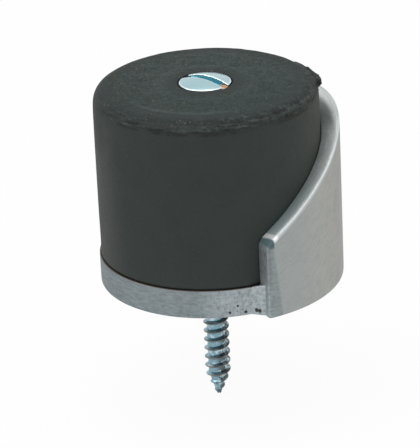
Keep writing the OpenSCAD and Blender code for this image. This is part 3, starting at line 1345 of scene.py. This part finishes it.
@dataclass
class Holder:
    """The cast holder: a round base and a curved wall with a slanted top."""

    name: str = "holder_casting"
    seat_radius: float = 15.3
    wall_radius: float = 17.7
    bore_radius: float = 2.1
    base_height: float = 4.0
    cut_height: float = 11.4
    cut_slope: float = 34.0
    knee_radius: float = 2.0
    end_overrun: float = 1.5
    end_share: float = 0.8
    corner_radius: float = 0.4
    end_columns: int = 4
    segments: int = 64
    smooth_levels: int = 2
    round_segments: int = 3
    widest_round: float = 1.0
    outer_round: float = 0.36
    knee_round: float = 0.5
    inner_round: float = 0.2
    wall_lean: float = 0.15
    end_round: float = 0.25
    nook_round: float = 0.25
    seat_round: float = 0.2
    rim_round: float = 0.15
    foot_round: float = 0.22
    bore_round: float = 0.2
    web_width: float = 1.5
    web_sink: float = 0.2
    web_low: float = 0.05
    web_top: float = 3.9
    web_rise: float = 0.8
    web_round: float = 0.3
    crease_angle: float = 38.0
    finish: CastFinish = CastFinish()

    @property
    def cage(self) -> float:
        """Return the ratio of the cage's radii to the smooth ones."""
        return round_cage(self.segments)

    @property
    def seat(self) -> float:
        """Return the cage's seat radius."""
        return self.seat_radius * self.cage

    @property
    def wall(self) -> float:
        """Return the cage's outer wall radius."""
        return self.wall_radius * self.cage

    @property
    def knee_end(self) -> float:
        """Return the place along Y where the knee's rounding meets the slanted top."""
        return self.knee_radius * (1 - math.sin(math.radians(self.cut_slope))) - self.end_overrun

    def top_at(self, y: float) -> float:
        """Return the height of the wall's top at a place along Y.

        Args:
            y: The place along Y.

        Returns:
            The height, on the knee's rounding or on the slanted plane.
        """
        slope = math.radians(self.cut_slope)
        if y >= self.knee_end:
            return self.cut_height + y * math.tan(slope)
        middle = self.knee_radius - self.end_overrun
        height = self.cut_height + middle * math.tan(slope) - self.knee_radius / math.cos(slope)
        return height + math.sqrt(max(0.0, self.knee_radius**2 - (y - middle) ** 2))

    def outside_at(self, y: float) -> float:
        """Return the wall's outer face along X at a place along Y.

        Args:
            y: The place along Y.

        Returns:
            The distance from the middle plane, on the round wall or on the end's rounded corner.
        """
        middle = self.corner_radius - self.end_overrun
        reach = math.sqrt((self.wall - self.corner_radius) ** 2 - middle**2)
        if y >= middle * self.wall / (self.wall - self.corner_radius):
            return math.sqrt(max(0.0, self.wall**2 - y**2))
        return reach + math.sqrt(max(0.0, self.corner_radius**2 - (y - middle) ** 2))

    def build(self) -> Solid:
        """Model the holder: a bored disc whose back is drawn out and up into the wall.

        Returns:
            The finished object.
        """
        piece = add_cylinder(self.name, self.seat, 0, self.base_height, self.segments)
        open_mesh(piece)
        pick(piece, Element.FACE, lambda f: abs(f.normal.z) > LEVEL)
        bpy.ops.mesh.inset(thickness=self.seat - self.bore_radius * self.cage)
        bpy.ops.mesh.bridge_edge_loops()
        self.draw_out_wall(piece)
        self.raise_wall(piece)
        self.weigh(piece)
        close_mesh()
        apply_modifier(
            piece,
            "BEVEL",
            width=self.widest_round,
            segments=self.round_segments,
            limit_method="WEIGHT",
            use_clamp_overlap=False,
        )
        apply_modifier(piece, "SUBSURF", levels=self.smooth_levels, render_levels=self.smooth_levels)
        for side in (1, -1):
            combine(piece, self.build_web(side), Joining.UNION)
        bring_to_frame(piece)
        bpy.ops.object.shade_smooth_by_angle(angle=math.radians(self.crease_angle))
        return piece

    def build_web(self, side: int) -> Solid:
        """Model the small web in the corner between the open rim and one end of the wall.

        Args:
            side: 1 for the end at +X, -1 for the one at -X.

        Returns:
            The web, sunk into the base and the wall.
        """
        rim_y = -self.end_overrun - self.web_width
        rim_x = math.sqrt(self.seat_radius**2 - rim_y**2)
        end_x = math.sqrt(self.seat_radius**2 - self.end_overrun**2) + self.web_width
        deep_x, deep_y = self.web_sink * (end_x - rim_x), self.web_sink * self.web_width
        corners = [
            Vector((side * (rim_x - deep_x), rim_y - deep_y, self.web_top)),
            Vector((side * (end_x + deep_x), deep_y - self.end_overrun, self.web_top + self.web_rise)),
            Vector((side * (rim_x - deep_x), deep_y - self.end_overrun, self.web_top)),
        ]
        web = add_cylinder("corner_web", 1, 0, 1, len(corners))
        open_mesh(web)
        mesh = bmesh.from_edit_mesh(web.data)
        turned = sorted({round(math.atan2(v.co.y, v.co.x), 3) for v in mesh.verts})
        for vert in mesh.verts:
            corner = corners[turned.index(round(math.atan2(vert.co.y, vert.co.x), 3))]
            vert.co = corner if vert.co.z > NEAR else Vector((corner.x, corner.y, self.web_low))
        bmesh.update_edit_mesh(web.data)
        bpy.ops.mesh.select_all(action="SELECT")
        bpy.ops.mesh.normals_make_consistent(inside=False)
        pick(web, Element.EDGE, lambda e: not is_upright(e) and self.on_web_face(e, corners))
        bpy.ops.mesh.bevel(offset=self.web_round, segments=self.round_segments)
        close_mesh()
        return web

    def on_web_face(self, edge: Any, corners: Sequence[Vector]) -> bool:
        """Return whether an edge runs along the web's open face, between its first two corners."""
        ends = {min(range(3), key=lambda i: (v.co.xy - corners[i].xy).length) for v in edge.verts}
        return ends == {0, 1}

    def draw_out_wall(self, piece: Solid) -> None:
        """Draw the back of the disc's side out to the wall's thickness, with close columns at its ends.

        Args:
            piece: The object in edit mode.
        """
        pick(piece, Element.FACE, self.is_back_side)
        bpy.ops.mesh.extrude_region_move()
        share = self.wall / self.seat
        bpy.ops.transform.resize(value=(share, share, 1), center_override=(0, 0, 0))
        pick(piece, Element.EDGE, self.is_end_column)
        bpy.ops.mesh.subdivide(number_cuts=self.end_columns)
        self.place_columns(piece)

    def is_back_side(self, face: Any) -> bool:
        """Say whether a face of the disc's side lies where the wall stands.

        Args:
            face: A face of the open mesh.

        Returns:
            Whether it does.
        """
        middle = face.calc_center_median()
        on_side = abs(face.normal.z) < 1 - LEVEL and axis_radius(middle) > self.seat - MARGIN
        return on_side and middle.y > -self.end_overrun * self.end_share

    def is_end_column(self, edge: Any) -> bool:
        """Say whether an edge runs along the last column at a wall's end.

        Args:
            edge: An edge of the open mesh.

        Returns:
            Whether it does.
        """
        low, high = sorted(vert.co.y for vert in edge.verts)
        far = min(axis_radius(vert.co) for vert in edge.verts)
        return low < -MARGIN and abs(high) < NEAR and far > self.seat - NEAR

    def place_columns(self, piece: Solid) -> None:
        """Move the columns at the wall's ends on to the rounded corner, closer together towards the end.

        Args:
            piece: The object in edit mode.
        """
        mesh = bmesh.from_edit_mesh(piece.data)
        turn = math.pi / 2 - math.radians(self.cut_slope)
        for vert in mesh.verts:
            radius = axis_radius(vert.co)
            outside = radius > (self.seat + self.wall) / 2
            full = self.end_overrun * (self.wall / self.seat if outside else 1)
            if radius < self.seat - MARGIN or not -full - NEAR < vert.co.y < -NEAR:
                continue
            count = round((full + vert.co.y) / full * (self.end_columns + 1))
            angle = turn * count / self.end_columns
            vert.co.y = self.knee_radius * (1 - math.cos(angle)) - self.end_overrun
            x = self.outside_at(vert.co.y) if outside else math.sqrt(self.seat**2 - vert.co.y**2)
            vert.co.x = math.copysign(x, vert.co.x)
        bmesh.update_edit_mesh(piece.data)

    def raise_wall(self, piece: Solid) -> None:
        """Raise the wall from the base and set its top on the slanted plane and the knees.

        Args:
            piece: The object in edit mode.
        """
        inner = self.seat - NEAR
        pick(piece, Element.FACE, lambda f: looks_up(f) and min(axis_radius(v.co) for v in f.verts) > inner)
        bpy.ops.mesh.extrude_region_move(TRANSFORM_OT_translate={"value": (0, 0, self.cut_height)})
        mesh = bmesh.from_edit_mesh(piece.data)
        for vert in mesh.verts:
            if vert.select:
                vert.co.z = self.top_at(vert.co.y)
                if self.on_inside(vert):
                    vert.co.xy *= 1 - self.wall_lean / self.seat
        bmesh.update_edit_mesh(piece.data)

    def on_inside(self, vert: Any) -> bool:
        """Return whether a corner of the open mesh lies on the seat's radius."""
        return abs(axis_radius(vert.co) - self.seat) < NEAR + self.wall_lean

    def spots(self, vert: Any) -> set[Spot]:
        """Say which faces and sides of the holder a corner of the open mesh lies on.

        Args:
            vert: The corner.

        Returns:
            The faces and sides.
        """
        co, radius, front, inside = vert.co, axis_radius(vert.co), -self.end_overrun, self.on_inside(vert)
        on_wall = co.y > front - NEAR and not inside
        on_top, on_foot = co.z > self.base_height + MARGIN, abs(co.z) < NEAR
        found = {
            Spot.INSIDE: inside,
            Spot.OUTSIDE: on_wall and abs(abs(co.x) - self.outside_at(co.y)) < NEAR,
            Spot.TOP: on_top,
            Spot.BELOW_TOP: not on_top,
            Spot.END: abs(co.y - front) < CLOSE and radius > self.seat - MARGIN,
            Spot.FOOT: on_foot,
            Spot.ABOVE_FOOT: not on_foot,
            Spot.BASE: abs(co.z - self.base_height) < NEAR,
            Spot.BACK: co.y > -NEAR,
            Spot.KNEE: co.y < NEAR,
            Spot.WALLED: co.y > front - CLOSE,
            Spot.OPEN: co.y < front + CLOSE,
            Spot.BORE: radius < self.bore_radius + MARGIN,
        }
        return {spot for spot, lies_there in found.items() if lies_there}

    def weigh(self, piece: Solid) -> None:
        """Give each worn or cast edge of the open mesh its rounding.

        Args:
            piece: The object in edit mode.
        """
        level: tuple[tuple[float, set[Spot]], ...] = (
            (self.outer_round, {Spot.TOP, Spot.OUTSIDE, Spot.BACK}),
            (self.knee_round, {Spot.TOP, Spot.OUTSIDE, Spot.KNEE}),
            (self.inner_round, {Spot.TOP, Spot.INSIDE}),
            (self.seat_round, {Spot.INSIDE, Spot.BASE, Spot.WALLED}),
            (self.rim_round, {Spot.INSIDE, Spot.BASE, Spot.OPEN}),
            (self.foot_round, {Spot.INSIDE, Spot.FOOT, Spot.OPEN}),
            (self.foot_round, {Spot.OUTSIDE, Spot.FOOT}),
            (self.foot_round, {Spot.END, Spot.FOOT}),
            (self.bore_round, {Spot.BORE}),
        )
        upright: tuple[tuple[float, set[Spot]], ...] = (
            (self.end_round, {Spot.END, Spot.INSIDE, Spot.ABOVE_FOOT}),
            (self.nook_round, {Spot.END, Spot.INSIDE, Spot.BELOW_TOP}),
        )
        for stands, rows in ((False, level), (True, upright)):
            for size, wanted in rows:
                weigh_edges(
                    piece,
                    lambda e: is_upright(e) == stands and all(wanted <= self.spots(v) for v in e.verts),
                    size / self.widest_round,
                )

    def dress(self, piece: Solid) -> None:
        """Give the holder its finish and its place on its body.

        Args:
            piece: The built object.
        """
        paint(piece, self.finish.material())
        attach(piece, Body.HOLDER.value)
        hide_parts(CadNode.HOLDER.value)


@dataclass
class Buffer:
    """The rubber buffer with its ragged moulded rim, and the washer inside it.

    The stops of its outline are counted outwards and upwards from the corner that they lie at, and a
    crisp corner has its next ring close by. Each stage of the nib has the turn at which it ends, its
    reach, its rise and its share of the size before.
    """

    name: str = "buffer_rubber"
    radius: float = 15.0
    low: float = 4.0
    edge_top: float = 27.4
    edge_round: float = 1.8
    edge_steps: int = 6
    segments: int = 64
    side_cuts: int = 3
    tall_side: float = 4.0
    smooth_levels: int = 2
    foot_chamfer: float = 0.15
    foot_height: float = 0.02
    lip_height: float = 26.5
    lip_half: float = 0.32
    lip_depth: float = 0.8
    head_hole: float = 3.7
    head_hole_height: float = 27.6
    seat_height: float = 27.27
    washer_hole: float = 2.65
    pocket_radius: float = 7.53
    pocket_top: float = 26.23
    pocket_low: float = 25.0
    bore_radius: float = 2.1
    side_foot: tuple[Stop, ...] = ((0.072, 0.15), (0.12, 0.4), (0.084, 0.85), (0.05, 1.4))
    side: tuple[Stop, ...] = ((0.1, 6.0), (0.1, 11.0), (0.1, 16.5))
    shoulder: tuple[Stop, ...] = ((0.07, -0.9), (0.03, 0.0))
    crown: tuple[Stop, ...] = ((-2.6, 0.03), (-3.6, 0.06), (-4.3, 0.1), (-5.5, 0.1), (-7.5, 0.13))
    head_edge: tuple[Stop, ...] = ((1.8, -0.05), (0.5, -0.02), (0.1, -0.03), (0.0, -0.1))
    head_seat: tuple[Stop, ...] = ((0.0, 0.02), (-0.06, -0.06))
    crisp: float = 0.1
    bore_crisp: float = 0.2
    flap_start: float = 62.5
    flap_end: float = 96.0
    flap_rise: float = 0.12
    flap_share: float = 1.02
    nib_turn: float = 64.0
    nib_stages: tuple[tuple[float, float, float, float], ...] = (
        (85.0, 0.18, 0.1, 0.97),
        (75.0, 0.16, 0.04, 0.9),
    )
    ragged: Side = Side(0.0, (-0.1, 0.25))
    rim: Zone = Zone((-0.65, -0.35, 0.4, 0.7), (13.5, 14.1), (ragged,))
    bead: Lumps = Lumps(
        name="rim_bead",
        grain=(5.0, 5.0, 0.6),
        detail=1,
        depth=0.36,
        push=Push.OUT,
        zone=Zone((-0.5, -0.3, 0.2, 0.45), (13.9, 14.3), (ragged, Side(-42.0, (0.45, 0.75), 0.25))),
        middle=0.0,
    )
    sag: Lumps = Lumps(
        name="rim_sag",
        grain=(4.5, 4.5, 4.5),
        detail=1,
        depth=0.32,
        push=Push.UP,
        zone=Zone((-1.4, -0.4, 0.5, 0.95), (12.4, 14.4), (replace(ragged, least=0.25),)),
    )
    fold: Lumps = Lumps(
        name="rim_fold", grain=(2.6, 2.6, 0.4), detail=1, depth=0.4, push=Push.OUT, zone=rim
    )
    tear: Lumps = Lumps(
        name="rim_tear",
        grain=(1.0, 1.0, 0.5),
        detail=2,
        depth=0.4,
        push=Push.OUT,
        zone=replace(rim, sides=(ragged, Side(40.0, (0.45, 0.9), 0.5))),
    )
    unevenness: Lumps = Lumps(
        name="top_lumps",
        grain=(2.2, 2.2, 2.2),
        detail=2,
        depth=0.14,
        push=Push.OUT,
        zone=Zone((0.5, 0.8, 8.0, 9.0), (4.3, 5.2)),
    )
    finish: RubberFinish = RubberFinish()
    washer_finish: WasherFinish = WasherFinish()

    def build(self) -> Solid:
        """Model the buffer: a drum whose top is drawn in ring by ring and down through the bore.

        Returns:
            The finished object.
        """
        cage = round_cage(self.segments)
        ring = ((self.radius - self.foot_chamfer) * cage, self.low + self.foot_height)
        piece = add_cylinder(self.name, ring[0], self.low, ring[1], self.segments)
        open_mesh(piece)
        pick(piece, Element.FACE, looks_up)
        for radius, height in self.outline():
            ring = extrude_ring(radius * cage, height, ring)
        bpy.ops.mesh.delete(type="FACE")
        pick(piece, Element.FACE, lambda f: f.normal.z < -LEVEL and len(f.verts) == self.segments)
        bpy.ops.mesh.inset(thickness=self.radius - self.foot_chamfer - self.bore_radius)
        bpy.ops.mesh.delete(type="FACE")
        pick(piece, Element.EDGE, lambda e: e.is_boundary)
        bpy.ops.mesh.bridge_edge_loops()
        pick(piece, Element.EDGE, self.is_tall_side)
        bpy.ops.mesh.subdivide(number_cuts=self.side_cuts)
        self.draw_nib(piece)
        close_mesh()
        apply_modifier(piece, "SUBSURF", levels=self.smooth_levels, render_levels=self.smooth_levels)
        for lumps in (self.bead, self.sag, self.fold, self.tear, self.unevenness):
            displace(piece, lumps, lambda co: self.push_at(co, lumps.zone))
        bring_to_frame(piece)
        return piece

    def outline(self) -> list[Stop]:
        """Return the radius and height of each ring, from the foot over the rim and down the bore.

        Returns:
            The rings.
        """
        turns = [math.pi / 2 * count / self.edge_steps for count in range(1, self.edge_steps + 1)]
        rounded = [(self.edge_round * math.cos(turn), self.edge_round * math.sin(turn)) for turn in turns]
        shoulder = self.edge_top - self.edge_round
        crisp, bore_crisp = self.crisp, self.bore_crisp
        corners = (
            (self.radius, self.low, self.side_foot + self.side),
            (self.radius, shoulder, self.shoulder),
            (self.radius - self.edge_round, shoulder, rounded),
            (self.radius, self.edge_top, self.crown),
            (self.head_hole, self.head_hole_height, self.head_edge),
            (self.head_hole, self.seat_height, self.head_seat),
            (self.washer_hole, self.pocket_top, ((0, 0), (crisp, 0))),
            (self.pocket_radius, self.pocket_top, ((-crisp, 0), (0, 0), (0, -crisp))),
            (self.pocket_radius, self.pocket_low, ((0, 0), (-crisp, 0))),
            (self.bore_radius, self.pocket_low, ((crisp, 0), (0, 0), (0, -bore_crisp))),
            (self.bore_radius, self.low, ((0, bore_crisp),)),
        )
        return [(radius + out, height + up) for radius, height, stops in corners for out, up in stops]

    def is_tall_side(self, edge: Any) -> bool:
        """Say whether an edge runs up the plain part of the side.

        Args:
            edge: An edge of the open mesh.

        Returns:
            Whether it does.
        """
        a, b = edge.verts
        far = min(axis_radius(a.co), axis_radius(b.co)) > self.radius - MARGIN
        return far and abs(a.co.z - b.co.z) > self.tall_side

    def on_flap(self, face: Any, end: float) -> bool:
        """Return whether a face lies between the flap's start and a turn about the Z axis."""
        middle = face.calc_center_median()
        return self.flap_start < math.degrees(math.atan2(middle.y, middle.x)) < end

    def on_bead(self, face: Any) -> bool:
        """Say whether a face lies on the rim's bead.

        Args:
            face: A face of the open mesh.

        Returns:
            Whether it does.
        """
        middle = face.calc_center_median()
        on_lip = abs(middle.z - self.lip_height) < self.lip_half
        return on_lip and axis_radius(middle) > self.radius - self.lip_depth

    def draw_nib(self, piece: Solid) -> None:
        """Draw a torn flap of moulding flash out of the rim, with a nib at its end.

        Args:
            piece: The object in edit mode.
        """
        pick(piece, Element.FACE, lambda f: self.on_bead(f) and self.on_flap(f, self.flap_end))
        bpy.ops.mesh.extrude_region_move(TRANSFORM_OT_translate={"value": (0, 0, self.flap_rise)})
        bpy.ops.transform.resize(value=(self.flap_share, self.flap_share, 1), center_override=(0, 0, 0))
        turn = math.radians(self.nib_turn)
        out = Vector((math.cos(turn), math.sin(turn), 0))
        for end, reach, rise, share in self.nib_stages:
            move = out * reach + Vector((0, 0, rise))
            middle = keep_selected(piece, lambda f: self.on_flap(f, end)) + move
            bpy.ops.mesh.extrude_region_move(TRANSFORM_OT_translate={"value": move})
            bpy.ops.transform.resize(value=(share, share, share), center_override=middle)

    def push_at(self, co: Vector, zone: Zone) -> float:
        """Say how much of a pattern's push a point takes.

        Args:
            co: The point.
            zone: Where the pattern pushes.

        Returns:
            The share, from 0 to 1.
        """
        start, full, last, end = (self.lip_height + height for height in zone.heights)
        share = ramp(co.z, start, full) * (1 - ramp(co.z, last, end)) * ramp(axis_radius(co), *zone.reach)
        for side in zone.sides:
            way = math.radians(side.turn)
            towards = (co.x * math.cos(way) + co.y * math.sin(way)) / self.radius
            share *= side.least + (1 - side.least) * ramp(towards, *side.fade)
        return share

    def dress(self, piece: Solid, washer: Solid) -> None:
        """Give the buffer and its washer their finishes and the buffer its place on its body.

        Args:
            piece: The built object.
            washer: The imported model's washer, which stays.
        """
        paint(piece, self.finish.material())
        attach(piece, Body.BUFFER.value)
        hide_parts(CadNode.BUFFER.value)
        paint(washer, self.washer_finish.material())


@dataclass
class Screw:
    """The fixing screw: a slotted raised head on a threaded shank with a blunt point."""

    name: str = "screw_zinc"
    tip: float = -18.4
    point_length: float = 3.4
    point_share: float = 0.2
    point_blunt: float = 0.005
    thread_radius: float = 1.75
    core_radius: float = 1.3
    crest: float = 0.12
    crest_round: float = 0.03
    flank_angle: float = 60.0
    pitch: float = 1.3
    turn_steps: int = 40
    merge_gap: float = 0.002
    neck_radius: float = 1.8
    neck_low: float = 25.0
    neck_top: float = 25.65
    shank_top: float = 26.3
    cone_top: float = 27.35
    rim: float = 27.6
    head_radius: float = 3.5
    head_rise: float = 0.7
    slot_width: float = 1.2
    slot_depth: float = 1.0
    slot_turn: float = 22.0
    cutter_half: float = 2.0
    head_segments: int = 96
    dome_rings: int = 10
    head_voxel: float = 0.07
    smooth_share: float = 0.5
    smooth_passes: int = 6
    crease_angle: float = 38.0
    finish: ZincFinish = ZincFinish()

    def build(self) -> Solid:
        """Model the head and the thread and join them.

        Returns:
            The finished object.
        """
        head = self.build_head()
        combine(head, self.build_shank(), Joining.UNION)
        bring_to_frame(head)
        bpy.ops.object.shade_smooth_by_angle(angle=math.radians(self.crease_angle))
        return head

    def dome_at(self, radius: float) -> float:
        """Return the height of the head's dome at a radius."""
        ball = (self.head_radius**2 + self.head_rise**2) / (2 * self.head_rise)
        return self.rim + self.head_rise - ball + math.sqrt(ball**2 - radius**2)

    def build_head(self) -> Solid:
        """Model the head: a neck drawn out to the cone, edge and dome, with the slot cut across.

        Returns:
            The head's object.
        """
        piece = add_cylinder(self.name, self.neck_radius, self.neck_low, self.neck_top, self.head_segments)
        open_mesh(piece)
        pick(piece, Element.FACE, looks_up)
        ring = (self.neck_radius, self.neck_top)
        ring = extrude_ring(self.head_radius, self.cone_top, ring)
        ring = extrude_ring(self.head_radius, self.rim, ring)
        for count in range(1, self.dome_rings + 1):
            radius = self.head_radius * math.cos(math.pi / 2 * count / (self.dome_rings + 1))
            ring = extrude_ring(radius, self.dome_at(radius), ring)
        close_mesh()
        combine(piece, self.slot_cutter(), Joining.DIFFERENCE)
        apply_modifier(piece, "REMESH", mode="VOXEL", voxel_size=self.head_voxel)
        apply_modifier(piece, "SMOOTH", factor=self.smooth_share, iterations=self.smooth_passes)
        return piece

    def slot_cutter(self) -> Solid:
        """Make the block that cuts the driver slot.

        Returns:
            The block.
        """
        clear_selection()
        floor = self.rim + self.head_rise - self.slot_depth
        bpy.ops.mesh.primitive_cube_add(size=2, location=(0, 0, floor + self.cutter_half))
        block = bpy.context.object
        block.scale = (2 * self.head_radius, self.slot_width / 2, self.cutter_half)
        block.rotation_euler = (0, 0, math.radians(self.slot_turn))
        bpy.ops.object.transform_apply(location=True, rotation=True, scale=True)
        return block

    def ridge(self) -> list[Stop]:
        """Return the radius and height of each corner along one turn of the thread, from one turn down.

        Returns:
            The corners.
        """
        flank = (self.thread_radius - self.core_radius) * math.tan(math.radians(self.flank_angle / 2))
        root = self.pitch - 2 * flank - self.crest
        low = self.tip - self.pitch
        rise, worn = low + root + flank, self.crest_round
        return [
            (self.core_radius, low),
            (self.core_radius, low + root / 2),
            (self.core_radius, low + root),
            (self.thread_radius - worn, rise - worn / 2),
            (self.thread_radius, rise + worn / 2),
            (self.thread_radius, rise + self.crest - worn / 2),
            (self.thread_radius - worn, rise + self.crest + worn / 2),
            (self.core_radius, low + self.pitch),
        ]

    def build_shank(self) -> Solid:
        """Model the thread: one ridge wound up the core, narrowed to the point and closed at both ends.

        Returns:
            The shank's object.
        """
        clear_selection()
        bpy.ops.mesh.primitive_plane_add(size=1, location=(0, 0, 0))
        shank = bpy.context.object
        open_mesh(shank)
        bpy.ops.mesh.select_all(action="SELECT")
        bpy.ops.mesh.merge(type="CENTER")
        corners = self.ridge()
        bpy.ops.transform.translate(value=(corners[0][0], 0, corners[0][1]))
        for old, new in zip(corners, corners[1:]):
            move = (new[0] - old[0], 0, new[1] - old[1])
            bpy.ops.mesh.extrude_vertices_move(TRANSFORM_OT_translate={"value": move})
        close_mesh()
        turns = math.ceil((self.shank_top - self.tip) / self.pitch) + 1
        apply_modifier(
            shank,
            "SCREW",
            screw_offset=self.pitch,
            iterations=turns,
            steps=self.turn_steps,
            render_steps=self.turn_steps,
        )
        open_mesh(shank)
        self.close_ends(shank)
        bpy.ops.mesh.select_all(action="SELECT")
        bpy.ops.mesh.remove_doubles(threshold=self.merge_gap)
        bpy.ops.mesh.normals_make_consistent(inside=False)
        close_mesh()
        return shank

    def close_ends(self, shank: Solid) -> None:
        """Narrow the lowest turns to the point and gather what runs past either end on the axis.

        Args:
            shank: The object in edit mode.
        """
        mesh = bmesh.from_edit_mesh(shank.data)
        for vert in mesh.verts:
            along = (vert.co.z - self.tip) / self.point_length
            share = min(1.0, self.point_share + (1 - self.point_share) * along)
            if along < self.point_blunt or vert.co.z > self.shank_top:
                share = 0.0
            vert.co.x *= share
            vert.co.y *= share
            vert.co.z = min(max(vert.co.z, self.tip), self.shank_top)
        bmesh.update_edit_mesh(shank.data)

    def dress(self, piece: Solid) -> None:
        """Give the screw its finish and its place on its body.

        Args:
            piece: The built object.
        """
        paint(piece, self.finish.material())
        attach(piece, Body.SCREW.value)
        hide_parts(CadNode.SCREW.value)


@dataclass
class Lamp:
    """One soft lamp that faces the part, with its places in metres."""

    name: str
    place: Point
    size: float
    power: float
    aim: Point = (0.0, 0.0, 0.012)

    def build(self) -> None:
        """Add the lamp."""
        clear_selection()
        bpy.ops.object.light_add(type="AREA", location=self.place)
        lamp = bpy.context.object
        lamp.name = self.name
        lamp.data.shape = "DISK"
        lamp.data.size = self.size
        lamp.data.energy = self.power
        lamp.rotation_mode = "QUATERNION"
        lamp.rotation_quaternion = (Vector(self.place) - Vector(self.aim)).to_track_quat("Z", "Y")


@dataclass
class Studio:
    """The pale floor, the white surroundings, the lamps and the camera, with lengths in metres."""

    floor_height: float = -0.0187
    floor_size: float = 6.0
    floor_colour: Colour = (0.86, 0.86, 0.86)
    floor_rough: float = 0.9
    floor_white: float = 0.94
    world_light: float = 0.55
    lamps: tuple[Lamp, ...] = (
        Lamp("overhead_lamp", (0.02, -0.02, 0.55), size=0.46, power=1.35),
        Lamp("left_lamp", (-0.15, -0.55, 0.35), size=0.4, power=1.2),
    )
    azimuth: float = 61.5
    elevation: float = 23.2
    roll: float = -2.64
    distance: float = 0.42
    focal_pixels: float = 3086.0
    frame_pixels: float = 448.0
    sensor: float = 36.0
    nearest: float = 0.01
    aim_right: float = -0.0005
    aim_up: float = 0.00644

    def build(self) -> None:
        """Set up everything round the part."""
        bpy.context.scene.view_settings.view_transform = "Standard"
        self.build_world()
        self.build_floor()
        for lamp in self.lamps:
            lamp.build()
        self.build_camera()

    @staticmethod
    def seen_directly(graph: Graph) -> Socket:
        """Return a socket that is 1 where the camera, a reflection or glass looks at the surface.

        Args:
            graph: The tree of the floor or the world.

        Returns:
            The socket.
        """
        path = graph.add("LightPath", {}).outputs
        rays = [path[f"Is {kind} Ray"] for kind in ("Camera", "Glossy", "Transmission")]
        return reduce(lambda a, b: graph.math("MAXIMUM", a, b), rays)

    def build_world(self) -> None:
        """Make surroundings that show white and light the part softly."""
        graph = Graph(bpy.data.worlds.new("white_studio"))
        bpy.context.scene.world = graph.owner
        sky = graph.nodes["Background"].inputs
        graph.put(sky["Color"], (1, 1, 1))
        graph.put(sky["Strength"], graph.between(self.seen_directly(graph), (self.world_light, 1.0)))

    def build_floor(self) -> None:
        """Make the pale floor, which shows white and keeps the part's shadow."""
        clear_selection()
        bpy.ops.mesh.primitive_plane_add(size=self.floor_size, location=(0, 0, self.floor_height))
        floor = bpy.context.object
        floor.name = "studio_floor"
        graph = Graph(bpy.data.materials.new("pale_floor"))
        graph.shade(Base_Color=self.floor_colour, Roughness=self.floor_rough, Specular_IOR_Level=0.0)
        plain = graph.nodes["Principled BSDF"].outputs[0]
        white = graph.add("Emission", {}).outputs[0]
        share = graph.product(self.seen_directly(graph), self.floor_white)
        both = graph.add("MixShader", {0: share, 1: plain, 2: white}).outputs[0]
        graph.put(graph.nodes["Material Output"].inputs["Surface"], both)
        paint(floor, graph.owner)

    def build_camera(self) -> None:
        """Put the camera at the photograph's viewing angle."""
        turn, rise, roll = (math.radians(x) for x in (self.azimuth, self.elevation, self.roll))
        right = Vector((math.cos(turn), math.sin(turn), 0))
        ahead = Vector((-math.sin(turn) * math.cos(rise), math.cos(turn) * math.cos(rise), -math.sin(rise)))
        up = right.cross(ahead)
        rolled_right = right * math.cos(roll) + up * math.sin(roll)
        rolled_up = up * math.cos(roll) - right * math.sin(roll)
        stand = rolled_right * self.aim_right + rolled_up * self.aim_up - ahead * self.distance
        clear_selection()
        bpy.ops.object.camera_add(location=(0, 0, 0))
        camera = bpy.context.object
        camera.name = "photo_camera"
        camera.data.sensor_width = self.sensor
        camera.data.lens = self.focal_pixels * self.sensor / self.frame_pixels
        camera.data.clip_start = self.nearest
        axes = Matrix((rolled_right, rolled_up, -ahead)).transposed().to_4x4()
        camera.matrix_world = Matrix.Translation(stand) @ axes
        bpy.context.scene.camera = camera


def report(piece: Solid) -> None:
    """Log a finished piece's name and number of faces."""
    LOG.info("%s: %d faces", piece.name, len(piece.data.polygons))


def main() -> None:
    """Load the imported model, then build and dress each piece and the studio."""
    logging.basicConfig(level=logging.INFO, format="%(name)s: %(message)s")
    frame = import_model()
    holder = Holder()
    casting = holder.build()
    holder.dress(casting)
    report(casting)
    buffer = Buffer()
    rubber = buffer.build()
    buffer.dress(rubber, frame["nodes"][CadNode.WASHER.value])
    report(rubber)
    screw = Screw()
    zinc = screw.build()
    screw.dress(zinc)
    report(zinc)
    Studio().build()


if __name__ == "__main__":
    main()
